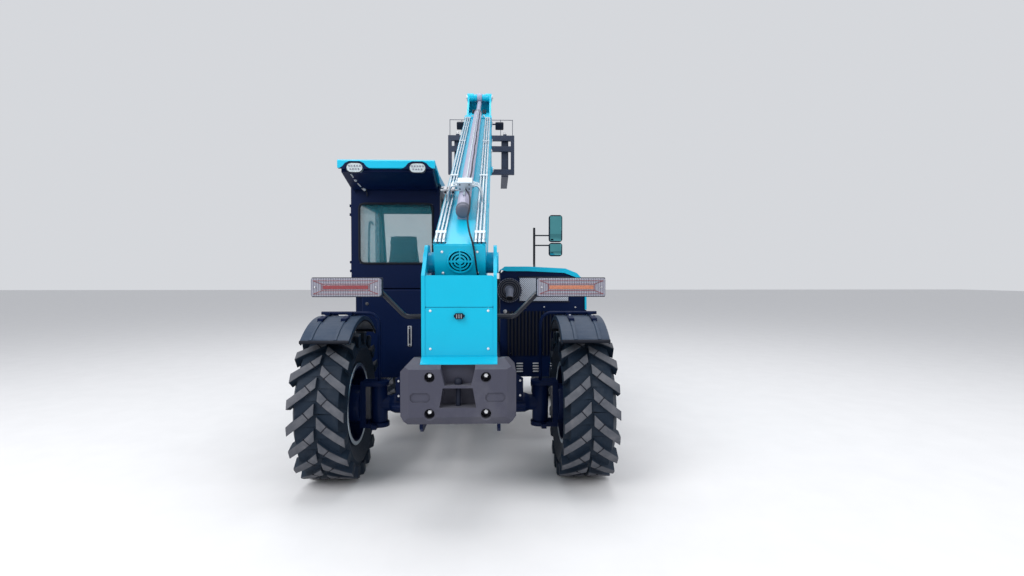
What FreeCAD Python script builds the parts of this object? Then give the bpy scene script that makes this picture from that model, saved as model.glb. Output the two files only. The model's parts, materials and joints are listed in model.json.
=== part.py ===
import FreeCAD, Part
import math
import os
import Sketcher
from FreeCAD import Placement, Rotation, Vector

# A four wheel drive, four wheel steer telescopic handler.
# Millimetres and degrees. X points forward, Y to the driver's left, Z up.
# The origin lies on the ground under the middle of the machine as it stands
# here: boom raised, inner boom drawn in, forks level.

SIZES = {
    # wheels and axles
    "rear_axle_x": -2510, "wheelbase": 2900, "tyre_radius": 585,
    "tyre_width": 410, "track_half": 995, "kingpin_half": 660,
    "lug_height": 34, "lug_count": 19, "lug_breadth": 56, "lug_sweep": 150,
    "lug_head": 78,
    "rim_radius": 300, "bead_gap": 0.2, "rim_wall": 9, "flange_radius": 330,
    "flange_wall": 14, "bead_inset": 54,
    "disc_radius": 215, "hub_radius": 118, "hub_reach": 95,
    "axle_tube_radius": 80, "axle_bulge_radius": 165, "axle_bulge_half": 150,
    "post_radius": 66, "post_half": 150, "yoke_wall": 34, "yoke_radius": 80,
    "spindle_radius": 150, "spindle_gap": 12, "bearing_radius": 62, "running_gap": 0.3,
    "pad_length": 190,
    "steer_rod_radius": 17, "steer_ram_radius": 40, "steer_setback": 140,
    "guard_radius": 708, "guard_wall": 7, "guard_width": 360, "guard_span": 76,
    "guard_lip": 38, "guard_inset": 127, "rib_height": 9, "rib_width": 26,
    "arm_tube_radius": 14, "arm_bend": 95, "clamp_width": 44,
    # main frame
    "frame_y": -50, "frame_half": 275, "frame_wall": 24, "frame_top": 985,
    "frame_belly": 500, "frame_arch": 720, "frame_tail": 560, "tail_setback": 780,
    "nose_reach": 420, "arch_half": 240, "cross_tube": 90,
    # tower and boom pivot
    "pivot_setback": 600, "pivot_height": 1720, "tower_wall": 24,
    "tower_gap": 4, "tower_back": 245, "tower_front": 320, "tower_foot": 690,
    "crown_radius": 122, "boss_radius": 74, "flange_reach": 12, "ledge_width": 30,
    "cover_wall": 8, "cover_top": 1630, "cover_foot": 1035, "cover_seam": 1420,
    "seam_gap": 5, "seam_strip": 4, "seam_lap": 24,
    # counterweight
    "weight_back": 400, "weight_half": 375, "weight_foot": 665,
    "weight_top": 1030, "weight_crest": 1085, "weight_chamfer": 60, "weight_bevel": 62,
    "weight_shoulder": 78, "weight_heel": 52,
    "weight_wing": 260, "weight_hole_radius": 34, "weight_hole_y": 180,
    "weight_hole_low": 80, "weight_hole_high": 314, "hole_depth": 90,
    "scoop_width": 220, "scoop_slope": 26, "scoop_foot": 925, "scoop_depth": 95,
    "panel_y": 240, "panel_z": 850, "panel_half": 34, "panel_radius": 30, "panel_depth": 8,
    "jaw_width": 235, "jaw_height": 125, "jaw_slope": 22, "jaw_depth": 120,
    "jaw_foot": 120, "tow_pin_radius": 15, "tow_pin_back": 62,
    # boom
    "boom_angle": 27, "boom_width": 350, "boom_height": 400, "boom_wall": 9,
    "boom_tail": 130, "boom_reach": 4370, "tail_plate_wall": 10,
    "tail_plate_width": 346, "grille_radius": 77, "grille_slot": 11, "grille_rise": 75,
    "inner_width": 300, "inner_height": 344, "inner_wall": 9,
    "inner_start": 260, "inner_show": 430,
    "lug_arm": 1100, "lug_drop": 340, "foot_angle": 86, "ear_wall": 20,
    "ear_space": 112, "ear_half": 190, "eye_radius": 62, "lift_pin_radius": 32,
    "lift_barrel_radius": 72, "lift_rod_radius": 40, "lift_gland": 1030,
    "lift_rod_length": 1138,
    # boom head, carriage pivot and tilt cylinder
    "head_span": 600, "head_drop": 850, "head_wall": 26, "head_half": 150,
    "head_crest": 335, "crest_span": 300, "head_pin_radius": 48,
    "crest_boss_radius": 64, "crest_boss_start": 88,
    "top_pin_radius": 52, "top_pin_half": 182,
    "tilt_base_back": 500, "tilt_base_rise": 430, "tilt_arm": 200,
    "tilt_arm_angle": 61, "tilt_eye_radius": 46, "tilt_pin_radius": 24,
    "tilt_barrel_radius": 41, "tilt_rod_radius": 28, "tilt_gland": 470,
    "tilt_rod_length": 454,
    # extension cylinder and pipes on top of the boom
    "ram_rise": 72, "ram_start": 300, "ram_short": 190, "ram_radius": 50,
    "ram_rod_radius": 30, "ram_rod_start": 900, "valve_at": 620,
    "pipe_radius": 9, "pipe_pitch": 26, "pipe_start": -70, "pipe_short": 180,
    "pipe_rise": 20, "pipe_edge": 160,
    # carriage and forks
    "carriage_half": 560, "carriage_low": 60, "carriage_middle": 330,
    "carriage_high": 600,
    "carriage_gap": 118, "carriage_depth": 60, "carriage_bar": 90,
    "post_width": 60, "guard_height": 270, "wire_radius": 5,
    "fork_width": 120, "fork_wall": 46, "fork_length": 1200,
    "fork_spread": 400, "fork_tip": 14, "fork_drop": 40,
    # cab
    "cab_right": 250, "cab_left": 1110, "cab_back": 850, "cab_low_back": 1010,
    "cab_front": 2060, "cab_nose": 2360, "cab_foot": 800, "cab_knee": 1430,
    "cab_top": 2500, "cab_wall": 46, "screen_top_x": 2060, "sill": 1750,
    "roof_rise": 96, "roof_tail": 400, "roof_front": 2180, "roof_band": 86, "visor_top": 160,
    "band_wall": 45, "roof_wall": 34, "window_top": 170,
    "work_lamp_y": 681, "work_lamp_half": 278, "work_lamp_rise": 89, "lens_radius": 42,
    "lens_half": 30, "lens_gap": 13, "beacon_radius": 48, "beacon_height": 112,
    "pane": 6, "pane_lap": 12, "door_gap": 6, "door_wall": 40,
    "door_front": 1960, "door_back": 935, "door_foot": 860, "door_bar": 60,
    "door_pin_out": 14, "door_pin_radius": 11,
    "cushion_thick": 110, "seat_x": 1120, "seat_y": 640, "seat_width": 470,
    "seat_depth": 470, "seat_height": 1330, "back_height": 730, "back_width": 404,
    "wheel_x": 1790, "wheel_z": 1640, "wheel_radius": 190, "wheel_rim": 15,
    "column_tilt": 35,
    # engine bay on the right
    "bay_inner": -335, "bay_outer": -1180, "bay_back": 805, "bay_front": 2080,
    "bay_foot": 645, "bay_seam": 1300, "bay_top": 1720, "bay_flat": 265,
    "bay_wall": 14, "lid_wall": 8, "lid_gap": 6, "hinge_drop": 50, "hinge_radius": 9,
    "lid_brow": 45, "lid_cheek": 18, "lid_lap": 14,
    "muffler_radius": 118,
    "muffler_y": -425, "muffler_z": 1490, "stub_radius": 35, "stub_length": 112,
    # tanks, lamps, mirror
    "tank_foot": 640, "tank_top": 1508, "tank_right": 292, "tank_left": 1000,
    "tank_wall_x": 808, "lamp_long": 460, "lamp_high": 120, "lamp_deep": 62,
    "lamp_y": 750, "lamp_z": 1550, "lamp_setback": 830, "lamp_tube": 17,
    "mirror_x": 2400, "mirror_y": -1050, "mirror_post_y": -780,
    "mirror_post_radius": 15, "mirror_half": 85, "mirror_deep": 44, "mirror_round": 36,
}

doc = FreeCAD.newDocument("Telehandler")
sheet = doc.addObject("Spreadsheet::Sheet", "Sizes")
for row, (alias, number) in enumerate(SIZES.items(), start=1):
    sheet.set("A%d" % row, alias)
    sheet.set("B%d" % row, str(number))
    sheet.setAlias("B%d" % row, alias)
doc.recompute()


class Size:
    """A value of the sheet, or a formula of such values, with its number."""

    def __init__(self, text, value):
        self.text = text
        self.value = float(value)

    def with_other(self, sign, other, number):
        return Size("(%s %s %s)" % (self.text, sign, other.text), number)

    def __add__(self, other):
        other = size(other)
        return self.with_other("+", other, self.value + other.value)

    def __sub__(self, other):
        other = size(other)
        return self.with_other("-", other, self.value - other.value)

    def __mul__(self, other):
        other = size(other)
        return self.with_other("*", other, self.value * other.value)

    def __truediv__(self, other):
        other = size(other)
        return self.with_other("/", other, self.value / other.value)

    def __radd__(self, other):
        return size(other) + self

    def __rsub__(self, other):
        return size(other) - self

    def __rmul__(self, other):
        return size(other) * self

    def __rtruediv__(self, other):
        return size(other) / self

    def __neg__(self):
        return size(0) - self


def size(item):
    if isinstance(item, Size):
        return item
    return Size("(%r)" % float(item), item)


def cosine(angle):
    angle = size(angle)
    return Size("cos(%s)" % angle.text, math.cos(math.radians(angle.value)))


def sine(angle):
    angle = size(angle)
    return Size("sin(%s)" % angle.text, math.sin(math.radians(angle.value)))


def root(item):
    return Size("sqrt(%s)" % item.text, math.sqrt(item.value))


def direction_of(run, rise):
    run, rise = size(run), size(rise)
    return Size("(atan2(%s; %s) / 1 deg)" % (rise.text, run.text),
                math.degrees(math.atan2(rise.value, run.value)))


class Named:
    """Gives each alias of the sheet as a Size."""

    def __getattr__(self, alias):
        return Size("Sizes." + alias, sheet.get(alias))


D = Named()
REAR = D.rear_axle_x
FRONT = D.rear_axle_x + D.wheelbase
AXLE_Z = D.tyre_radius
MID = D.frame_y
PIVOT_X = REAR - D.pivot_setback
PIVOT_Z = D.pivot_height
INNER_END = D.boom_reach + D.inner_show
CREST_AT = INNER_END + D.crest_span
HEAD_AT = INNER_END + D.head_span
RAM_END = D.boom_reach - D.ram_short
PIPE_END = D.boom_reach - D.pipe_short
nodes = {}


def bind(thing, prop, value):
    """Tie one property of an object to a formula."""
    value = size(value)
    thing.setExpression(prop, value.text)


def place(thing, x=0, y=0, z=0, turn=None, axis=(0, -1, 0)):
    """Put an object at bound coordinates, turned about an axis."""
    x, y, z = size(x), size(y), size(z)
    spin = Rotation() if turn is None else Rotation(Vector(*axis), size(turn).value)
    thing.Placement = Placement(Vector(x.value, y.value, z.value), spin)
    for letter, value in zip("xyz", (x, y, z)):
        thing.setExpression("Placement.Base." + letter, value.text)
    if isinstance(turn, Size):
        thing.setExpression("Placement.Rotation.Angle", turn.text)
    return thing


def node(thing, label):
    """Name a finished piece."""
    thing.Label = label
    nodes[label] = thing
    return thing


def origin_plane(body, role):
    return [item for item in body.Origin.OriginFeatures if item.Role == role][0]


def sketch_on(body, role, level):
    """A sketch on an origin plane, moved along that plane's axis to a level."""
    sketch = body.newObject("Sketcher::SketchObject", body.Name + "_sketch")
    sketch.AttachmentSupport = (origin_plane(body, role), "")
    sketch.MapMode = "FlatFace"
    level = size(level)
    offset = -level if role == "XZ_Plane" else level
    sketch.AttachmentOffset = Placement(Vector(0, 0, offset.value), Rotation())
    bind(sketch, ".AttachmentOffset.Base.z", offset)
    return sketch


def outline(sketch, points):
    """A closed polygon whose corners are tied to their formulas."""
    points = [(size(a), size(b)) for a, b in points]
    count = len(points)
    first = sketch.GeometryCount
    for number in range(count):
        a, b = points[number], points[(number + 1) % count]
        sketch.addGeometry(Part.LineSegment(Vector(a[0].value, a[1].value, 0),
                                            Vector(b[0].value, b[1].value, 0)))
    for number in range(count):
        sketch.addConstraint(Sketcher.Constraint(
            "Coincident", first + number, 2, first + (number + 1) % count, 1))
    for number, point in enumerate(points):
        for kind, value in zip(("DistanceX", "DistanceY"), point):
            mark = sketch.addConstraint(Sketcher.Constraint(
                kind, -1, 1, first + number, 1, value.value))
            sketch.setExpression("Constraints[%d]" % mark, value.text)


def ring(sketch, a, b, radius):
    """A circle tied to its centre and radius."""
    a, b, radius = size(a), size(b), size(radius)
    number = sketch.addGeometry(Part.Circle(Vector(a.value, b.value, 0),
                                            Vector(0, 0, 1), radius.value))
    for kind, value in (("DistanceX", a), ("DistanceY", b)):
        mark = sketch.addConstraint(Sketcher.Constraint(kind, -1, 1, number, 3, value.value))
        sketch.setExpression("Constraints[%d]" % mark, value.text)
    mark = sketch.addConstraint(Sketcher.Constraint("Radius", number, radius.value))
    sketch.setExpression("Constraints[%d]" % mark, radius.text)


def new_body(name):
    return doc.addObject("PartDesign::Body", name)


def pad(body, role, level, width, polygons, rings=()):
    """Extrude closed outlines evenly to both sides of a level."""
    sketch = sketch_on(body, role, level)
    for points in polygons:
        outline(sketch, points)
    for circle in rings:
        ring(sketch, *circle)
    feature = body.newObject("PartDesign::Pad", body.Name + "_pad")
    feature.Profile = sketch
    feature.Midplane = True
    bind(feature, "Length", width)
    sketch.Visibility = False
    return feature


def pocket(body, role, level, width, polygons, rings=()):
    """Cut closed outlines evenly to both sides of a level."""
    doc.recompute()
    sketch = sketch_on(body, role, level)
    for points in polygons:
        outline(sketch, points)
    for circle in rings:
        ring(sketch, *circle)
    before = body.Shape.Volume
    feature = body.newObject("PartDesign::Pocket", body.Name + "_pocket")
    feature.Profile = sketch
    feature.Midplane = True
    bind(feature, "Length", width)
    doc.recompute()
    if body.Shape.Volume > before - 1.0:
        raise ValueError("a cut in %s removes nothing" % body.Name)
    return feature


def fillet(body, radius, chosen, kind="Fillet", prop="Radius"):
    """Round or bevel the edges whose middle point the test picks."""
    doc.recompute()
    base = body.Tip
    names = []
    for number, edge in enumerate(base.Shape.Edges, start=1):
        middle = edge.valueAt((edge.FirstParameter + edge.LastParameter) / 2)
        if chosen(edge, middle):
            names.append("Edge%d" % number)
    feature = body.newObject("PartDesign::" + kind, body.Name + "_edges")
    feature.Base = (base, names)
    bind(feature, prop, radius)
    doc.recompute()
    return feature


def along(letter):
    """A test for straight edges parallel to an axis."""
    axis = {"x": Vector(1, 0, 0), "y": Vector(0, 1, 0), "z": Vector(0, 0, 1)}[letter]

    def test(edge, middle):
        if edge.Curve.TypeId != "Part::GeomLine":
            return False
        return abs(abs(edge.Curve.Direction.dot(axis)) - 1) < 1e-6
    return test


def near(letter, *corners):
    """A test for edges along an axis that pass a given corner."""
    straight = along(letter)
    keep = [item for item in "xyz" if item != letter]
    spots = [(size(a).value, size(b).value) for a, b in corners]

    def test(edge, middle):
        if not straight(edge, middle):
            return False
        a, b = getattr(middle, keep[0]), getattr(middle, keep[1])
        return any(math.hypot(a - p, b - q) < 0.5 for p, q in spots)
    return test


def turned(name, profile, angle=360, middle=False):
    """A body of (along, radius) corners turned about its Y axis."""
    body = new_body(name)
    sketch = sketch_on(body, "YZ_Plane", 0)
    outline(sketch, profile)
    feature = body.newObject("PartDesign::Revolution", name + "_turn")
    feature.Profile = sketch
    feature.ReferenceAxis = (sketch, ["H_Axis"])
    feature.Midplane = middle
    bind(feature, "Angle", angle)
    return body


def block(name, x, y, z):
    """A box between pairs of bound coordinates."""
    piece = doc.addObject("Part::Box", name)
    low = [size(pair[0]) for pair in (x, y, z)]
    high = [size(pair[1]) for pair in (x, y, z)]
    for prop, a, b in zip(("Length", "Width", "Height"), low, high):
        bind(piece, prop, b - a)
    return place(piece, *low)


AXES = {"x": ((0, 1, 0), 90), "y": ((-1, 0, 0), 90), "z": ((0, 0, 1), 0)}


def bar(name, start, axis, length, radius):
    """A round bar from a point along an axis."""
    piece = doc.addObject("Part::Cylinder", name)
    bind(piece, "Radius", radius)
    bind(piece, "Height", length)
    around, turn = AXES[axis]
    return place(piece, *start, turn=turn, axis=around)


def slim(name, start, axis, length, radius):
    """A ten sided bar, for slender tubes."""
    piece = doc.addObject("Part::Prism", name)
    piece.Polygon = 10
    bind(piece, "Circumradius", radius)
    bind(piece, "Height", length)
    around, turn = AXES[axis]
    return place(piece, *start, turn=turn, axis=around)


def joined(name, pieces):
    result = doc.addObject("Part::MultiFuse", name)
    result.Shapes = pieces
    result.Refine = True
    return result


def lessened(name, base, tools):
    result = doc.addObject("Part::Cut", name)
    result.Base = base
    result.Tool = tools[0] if len(tools) == 1 else joined(name + "_tools", tools)
    return result


def flipped(name, source):
    """The mirror image across the plane Y = 0."""
    result = doc.addObject("Part::Mirroring", name)
    result.Source = source
    result.Normal = (0, 1, 0)
    return result


def copied(name, source):
    result = doc.addObject("Part::Compound", name)
    result.Links = [source]
    return result


def route(points, radius, bend):
    """A ten sided solid tube through points, its corners turned with arcs."""
    points = [Vector(*(size(item).value for item in point)) for point in points]
    radius, bend = size(radius).value, size(bend).value
    edges = []
    start = points[0]
    for number in range(1, len(points) - 1):
        before, corner, after = points[number - 1:number + 2]
        back = (before - corner).normalize()
        ahead = (after - corner).normalize()
        turn = math.pi - back.getAngle(ahead)
        reach = bend * math.tan(turn / 2)
        first, last = corner + back * reach, corner + ahead * reach
        inward = (back + ahead).normalize()
        centre = corner + inward * (bend / math.cos(turn / 2))
        top = centre - inward * bend
        edges.append(Part.makeLine(start, first))
        edges.append(Part.Arc(first, top, last).toShape())
        start = last
    edges.append(Part.makeLine(start, points[-1]))
    heading = points[1] - points[0]
    across = heading.cross(Vector(0.31, 0.47, 0.83)).normalize() * radius
    turns = [Rotation(heading, 36 * step).multVec(across) + points[0] for step in range(10)]
    profile = Part.makePolygon(turns + turns[:1])
    return Part.Wire(edges).makePipeShell([profile], True, True)


def feature(name, shape):
    piece = doc.addObject("Part::Feature", name)
    piece.Shape = shape
    return piece


def faceted(profile, sides):
    """A ring of flat facets: (along Y, radius) corners set round the Y axis."""
    profile = [(size(a).value, size(r).value) for a, r in profile]
    rounds = []
    for step in range(sides):
        turn = 2 * math.pi * step / sides
        rounds.append([Vector(r * math.sin(turn), a, r * math.cos(turn)) for a, r in profile])
    faces = []
    for first, second in zip(rounds, rounds[1:] + rounds[:1]):
        for number in range(len(profile)):
            after = (number + 1) % len(profile)
            corners = [first[number], first[after]]
            for point in (second[after], second[number]):
                if all((point - corner).Length > 0.001 for corner in corners):
                    corners.append(point)
            if len(corners) > 2:
                faces.append(Part.Face(Part.makePolygon(corners + corners[:1])))
    solid = Part.makeSolid(Part.makeShell(faces))
    if solid.Volume < 0:
        solid.reverse()
    return solid


def make_tyre():
    """A cross ply tyre: slanted bars with broad heads, in turn from side to side."""
    half = D.tyre_width / 2
    crown = D.tyre_radius - D.lug_height
    bead = half - D.bead_inset
    count = int(round(D.lug_count.value))
    carcass = faceted([
        (-bead, D.rim_radius + D.bead_gap), (-bead, D.flange_radius + 5), (5 - half, crown - 95),
        (50 - half, crown), (half - 50, crown), (half - 5, crown - 95),
        (bead, D.flange_radius + 5), (bead, D.rim_radius + D.bead_gap)], count * 2)
    sweep, wide, head = D.lug_sweep, D.lug_breadth, D.lug_head
    knee = half * 0.42
    bar_body = new_body("tyre_bar")
    pad(bar_body, "XY_Plane", D.tyre_radius, D.lug_height * 2 + 130,
        [[(sweep + head * 0.35, 10), (sweep - head * 0.65, 10), (sweep - head - 38, knee),
          (0 - wide, half), (wide * 0.25, half), (sweep * 0.62 + 12, knee)]])
    doc.recompute()
    envelope = faceted([(0, 100), (0, D.tyre_radius), (half, D.tyre_radius), (half, 100)],
                       count * 2)
    lug = bar_body.Shape.common(envelope)
    opposite = lug.mirror(Vector(0, 0, 0), Vector(0, 1, 0))
    bars = []
    for number in range(count * 2):
        copy = (opposite if number % 2 else lug).copy()
        copy.rotate(Vector(0, 0, 0), Vector(0, 1, 0), 180 * number / count)
        bars.append(copy)
    return feature("tyre_form", carcass.multiFuse(bars))


def make_rim():
    """A dished wheel with its hub, outer face towards +Y."""
    seat = D.tyre_width / 2 - D.bead_inset
    edge = seat + D.flange_wall
    profile = [
        (-edge, D.rim_radius - D.rim_wall), (0 - edge, D.flange_radius),
        (0 - seat - D.bead_gap, D.flange_radius),
        (0 - seat - D.bead_gap, D.rim_radius), (seat + D.bead_gap, D.rim_radius),
        (seat + D.bead_gap, D.flange_radius), (edge, D.flange_radius),
        (edge, D.rim_radius - D.rim_wall), (52, D.rim_radius - D.rim_wall),
        (12, D.disc_radius), (12, D.hub_radius + 20), (40, D.hub_radius),
        (D.hub_reach, D.hub_radius - 22), (D.hub_reach, 0),
        (D.running_gap - 95, 0), (D.running_gap - 95, D.bearing_radius),
        (D.spindle_gap - 95, D.bearing_radius), (D.spindle_gap - 95, D.hub_radius),
        (-6, D.hub_radius + 20), (-6, D.disc_radius + 6), (34, D.rim_radius - D.rim_wall)]
    return feature("rim_form", faceted(profile, int(round(D.lug_count.value)) * 2))


def make_knuckle(end, ahead):
    """A steering knuckle, its spindle towards +Y, at the kingpin."""
    face = D.track_half - D.kingpin_half - 95
    over, wall = D.post_half + 0.5, D.yoke_wall
    parts = []
    for side, low in (("upper", over), ("lower", 0 - over - wall)):
        parts.append(bar("knuckle_%s_eye" % side, (0, 0, low), "z", wall, D.yoke_radius))
        parts.append(block("knuckle_%s_arm" % side, (0 - D.yoke_radius, D.yoke_radius),
                           (0, D.yoke_radius + 58), (low, low + wall)))
    parts.append(block("knuckle_back", (0 - D.yoke_radius, D.yoke_radius),
                       (D.yoke_radius + 14, D.yoke_radius + 58),
                       (0 - over - wall, over + wall)))
    parts.append(bar("knuckle_spindle", (0, D.yoke_radius + 58, 0), "y",
                     face - D.yoke_radius - 58, D.spindle_radius))
    lever = (0, D.steer_setback) if ahead > 0 else (0 - D.steer_setback, 0)
    parts.append(block("knuckle_lever", lever, (0, D.yoke_radius * 0.5),
                       (0 - over - wall, 0 - over)))
    return joined("knuckle_form_" + end, parts + [make_guard_arm()])


def make_guard():
    """A plastic mudguard over the wheel, at the kingpin."""
    inner, outer = D.guard_inset, D.guard_inset + D.guard_width
    low, high = D.guard_radius, D.guard_radius + D.guard_wall
    crest = high + D.rib_height
    rib, wall = D.rib_width, D.guard_wall
    near_rib, far_rib = inner + 90, outer - 90
    return turned("guard_form", [
        (inner, low - D.guard_lip), (inner + wall, low - D.guard_lip), (inner + wall, low),
        (outer - wall, low), (outer - wall, low - D.guard_lip), (outer, low - D.guard_lip),
        (outer, high), (far_rib + rib, high), (far_rib + rib, crest), (far_rib, crest),
        (far_rib, high), (near_rib + rib, high), (near_rib + rib, crest), (near_rib, crest),
        (near_rib, high), (inner, high)], D.guard_span, middle=True)


def make_guard_arm():
    """The bent tube that carries the mudguard."""
    top = D.guard_radius + D.guard_wall + D.rib_height + D.arm_tube_radius + 1
    foot = D.post_half + 0.5 + D.yoke_wall
    reach = D.guard_inset + D.guard_width - 22
    tube = feature("arm_tube", route(
        [(0, 0, foot), (0, 0, top), (0, reach, top)], D.arm_tube_radius, D.arm_bend))
    parts = [tube]
    ribs = (D.guard_inset + 90, D.guard_inset + D.guard_width - 90)
    for number, spot in enumerate(ribs):
        centre = spot + D.rib_width / 2
        parts.append(block("arm_clamp_%d" % number,
                           (0 - D.clamp_width, D.clamp_width),
                           (centre - D.clamp_width / 2, centre + D.clamp_width / 2),
                           (top - D.arm_tube_radius - 0.7, top + 6)))
    return joined("arm_form", parts)


def make_wheels():
    tyre, rim, guard = make_tyre(), make_rim(), make_guard()
    knuckles = {"rear": make_knuckle("rear", -1), "front": make_knuckle("front", 1)}
    for side, sign in (("left", 1), ("right", -1)):
        for end, x in (("rear", REAR), ("front", FRONT)):
            tail = "%s_%s" % (end, side)
            forms = {"rim": rim, "knuckle": knuckles[end], "mudguard": guard}
            wheel_y = D.track_half * sign
            pin_y = D.kingpin_half * sign
            place(node(copied("tyre_" + tail, tyre), "tyre_" + tail), x, wheel_y, AXLE_Z)
            for name, form in forms.items():
                label = "%s_%s" % (name, tail)
                piece = copied(label, form) if sign > 0 else flipped(label, form)
                y = wheel_y if name == "rim" else pin_y
                place(node(piece, label), x, y, AXLE_Z)


def make_axle(label, x, ahead):
    """A rigid drive axle with its steering ram on the side away from the shaft."""
    pin, tube, bulge = D.kingpin_half, D.axle_tube_radius, D.axle_bulge_radius
    wide = D.axle_bulge_half
    beam = feature(label + "_beam", faceted([
        (-pin, 0), (0 - pin, tube * 0.8), (0 - pin + 90, tube * 0.8), (0 - pin + 130, tube),
        (0 - wide - 40, tube + 8), (0 - wide, bulge - 30), (0 - wide / 2, bulge),
        (wide / 2, bulge), (wide, bulge - 30), (wide + 40, tube + 8), (pin - 130, tube),
        (pin - 90, tube * 0.8), (pin, tube * 0.8), (pin, 0)], 24))
    parts = [beam]
    for side, sign in (("left", 1), ("right", -1)):
        parts.append(bar("%s_post_%s" % (label, side), (0, pin * sign, 0 - D.post_half),
                         "z", D.post_half * 2, D.post_radius))
        middle = MID + (D.frame_half - D.frame_wall / 2) * sign
        parts.append(block("%s_pad_%s" % (label, side), (0 - D.pad_length / 2, D.pad_length / 2),
                           (middle - 45, middle + 45), (0, D.frame_arch - AXLE_Z)))
    ram_x = D.steer_setback * ahead
    foot = (0, ram_x) if ahead > 0 else (ram_x, 0)
    parts.append(bar(label + "_ram", (ram_x, -230, 0), "y", 460, D.steer_ram_radius))
    parts.append(bar(label + "_rods", (ram_x, 0 - pin + 130, 0), "y", (pin - 130) * 2,
                     D.steer_rod_radius))
    parts.append(block(label + "_ram_foot", foot, (-90, 90), (-40, 40)))
    place(node(joined(label, parts), label), x, 0, AXLE_Z)


def make_frame():
    """Two long plates with arches over the axles, and cross tubes."""
    tail, nose = REAR - D.tail_setback, FRONT + D.nose_reach
    top, belly, arch, half = D.frame_top, D.frame_belly, D.frame_arch, D.arch_half
    points = [
        (tail, D.frame_tail + 30), (tail + 40, D.frame_tail), (REAR - half - 90, D.frame_tail),
        (REAR - half, arch), (REAR + half, arch),
        (REAR + half + 150, belly), (FRONT - half - 150, belly), (FRONT - half, arch),
        (FRONT + half, arch), (FRONT + half + 60, 640), (nose, 640), (nose, top - 90),
        (nose - 160, top), (tail, top)]
    parts = []
    wall, outer = D.frame_wall, D.frame_half
    for side, sign in (("left", 1), ("right", -1)):
        body = new_body("frame_plate_" + side)
        pad(body, "XZ_Plane", MID + (outer - wall / 2) * sign, wall, [points])
        parts.append(body)
    inner = (MID - outer + wall, MID + outer - wall)
    tube = D.cross_tube
    for number, x in enumerate((REAR + 450, REAR + 1250, FRONT - 450)):
        parts.append(block("frame_cross_%d" % number, (x, x + tube), inner,
                           (top - 60 - tube, top - 60)))
    parts.append(block("frame_nose", (nose - 20, nose), (MID - outer, MID + outer),
                       (640, top - 90)))
    foot = foot_point()
    clear = D.ear_space / 2 + 1
    for side, sign in (("left", 1), ("right", -1)):
        start = MID + clear if sign > 0 else MID - outer + wall
        parts.append(bar("frame_foot_" + side, (foot[0], start, foot[1]), "y",
                         outer - wall - clear, D.eye_radius - 8))
    parts.append(bar("lift_foot_pin", (foot[0], MID - clear - 1, foot[1]), "y",
                     clear * 2 + 2, D.lift_pin_radius))
    node(joined("main_frame", parts), "main_frame")


def tower_profile():
    back, front = PIVOT_X - D.tower_back, PIVOT_X + D.tower_front
    return [(back, D.tower_foot + 60), (back + 60, D.tower_foot), (front - 60, D.tower_foot),
            (front, D.tower_foot + 60), (front, 1060), (PIVOT_X + D.crown_radius, 1600),
            (PIVOT_X + D.crown_radius, PIVOT_Z), (PIVOT_X + 60, PIVOT_Z + D.crown_radius),
            (PIVOT_X - 60, PIVOT_Z + D.crown_radius), (PIVOT_X - D.crown_radius, PIVOT_Z + 40),
            (back, D.cover_top)]


def make_tower():
    """The upright plates that carry the boom pivot."""
    outer = D.frame_half - D.frame_wall
    wall = D.tower_wall
    parts = []
    for side, sign in (("left", 1), ("right", -1)):
        body = new_body("tower_plate_" + side)
        pad(body, "XZ_Plane", MID + (outer - wall / 2) * sign, wall, [tower_profile()])
        fillet(body, D.crown_radius * 0.4, near(
            "y", (PIVOT_X + 60, PIVOT_Z + D.crown_radius),
            (PIVOT_X - 60, PIVOT_Z + D.crown_radius)))
        parts.append(body)
    back = PIVOT_X - D.tower_back
    inside = (MID - outer + wall, MID + outer - wall)
    web = back + D.flange_reach
    parts.append(block("tower_back_web", (web, web + 18), inside,
                       (D.tower_foot + 10, D.cover_foot - 0.5)))
    for side, sign in (("left", 1), ("right", -1)):
        edge = MID + (outer - wall) * sign
        low, high = (edge - D.ledge_width, edge) if sign > 0 else (edge, edge + D.ledge_width)
        parts.append(block("tower_ledge_" + side, (web, web + 10), (low, high),
                           (D.cover_foot, D.cover_top - 20)))
    boom_half = D.boom_width / 2 + D.tower_gap
    for side, sign in (("left", 1), ("right", -1)):
        start = MID + boom_half if sign > 0 else MID - outer - 12
        parts.append(bar("tower_boss_" + side, (PIVOT_X, start, PIVOT_Z), "y",
                         outer + 12 - boom_half, D.boss_radius))
    node(joined("tower", parts), "tower")


def foot_point():
    """The lower pin of the lift cylinder, as far from the pivot as the upper."""
    return (PIVOT_X + D.lug_arm * cosine(D.foot_angle),
            PIVOT_Z - D.lug_arm * sine(D.foot_angle))


def make_cover():
    """The bent rear cover of the tower, in two plates with a seam."""
    outer = D.frame_half - D.frame_wall - D.tower_wall
    back = PIVOT_X - D.tower_back + D.flange_reach
    plates = []
    for name, low, high in (("low", D.cover_foot, D.cover_seam - D.seam_gap),
                            ("top", D.cover_seam, D.cover_top)):
        body = new_body("cover_plate_" + name)
        pad(body, "YZ_Plane", back - D.cover_wall / 2, D.cover_wall,
            [[(MID - outer, low), (MID + outer, low), (MID + outer, high),
              (MID - outer, high)]])
        fillet(body, 14, near("x", (MID - outer, high), (MID + outer, high),
                              (MID - outer, low), (MID + outer, low)))
        plates.append(body)
    inside = outer - D.ledge_width - 1
    plates.append(block("cover_strip", (back, back + D.seam_strip), (MID - inside, MID + inside),
                        (D.cover_seam - D.seam_lap, D.cover_seam + D.seam_lap)))
    node(joined("tower_cover", plates), "tower_cover")


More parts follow.
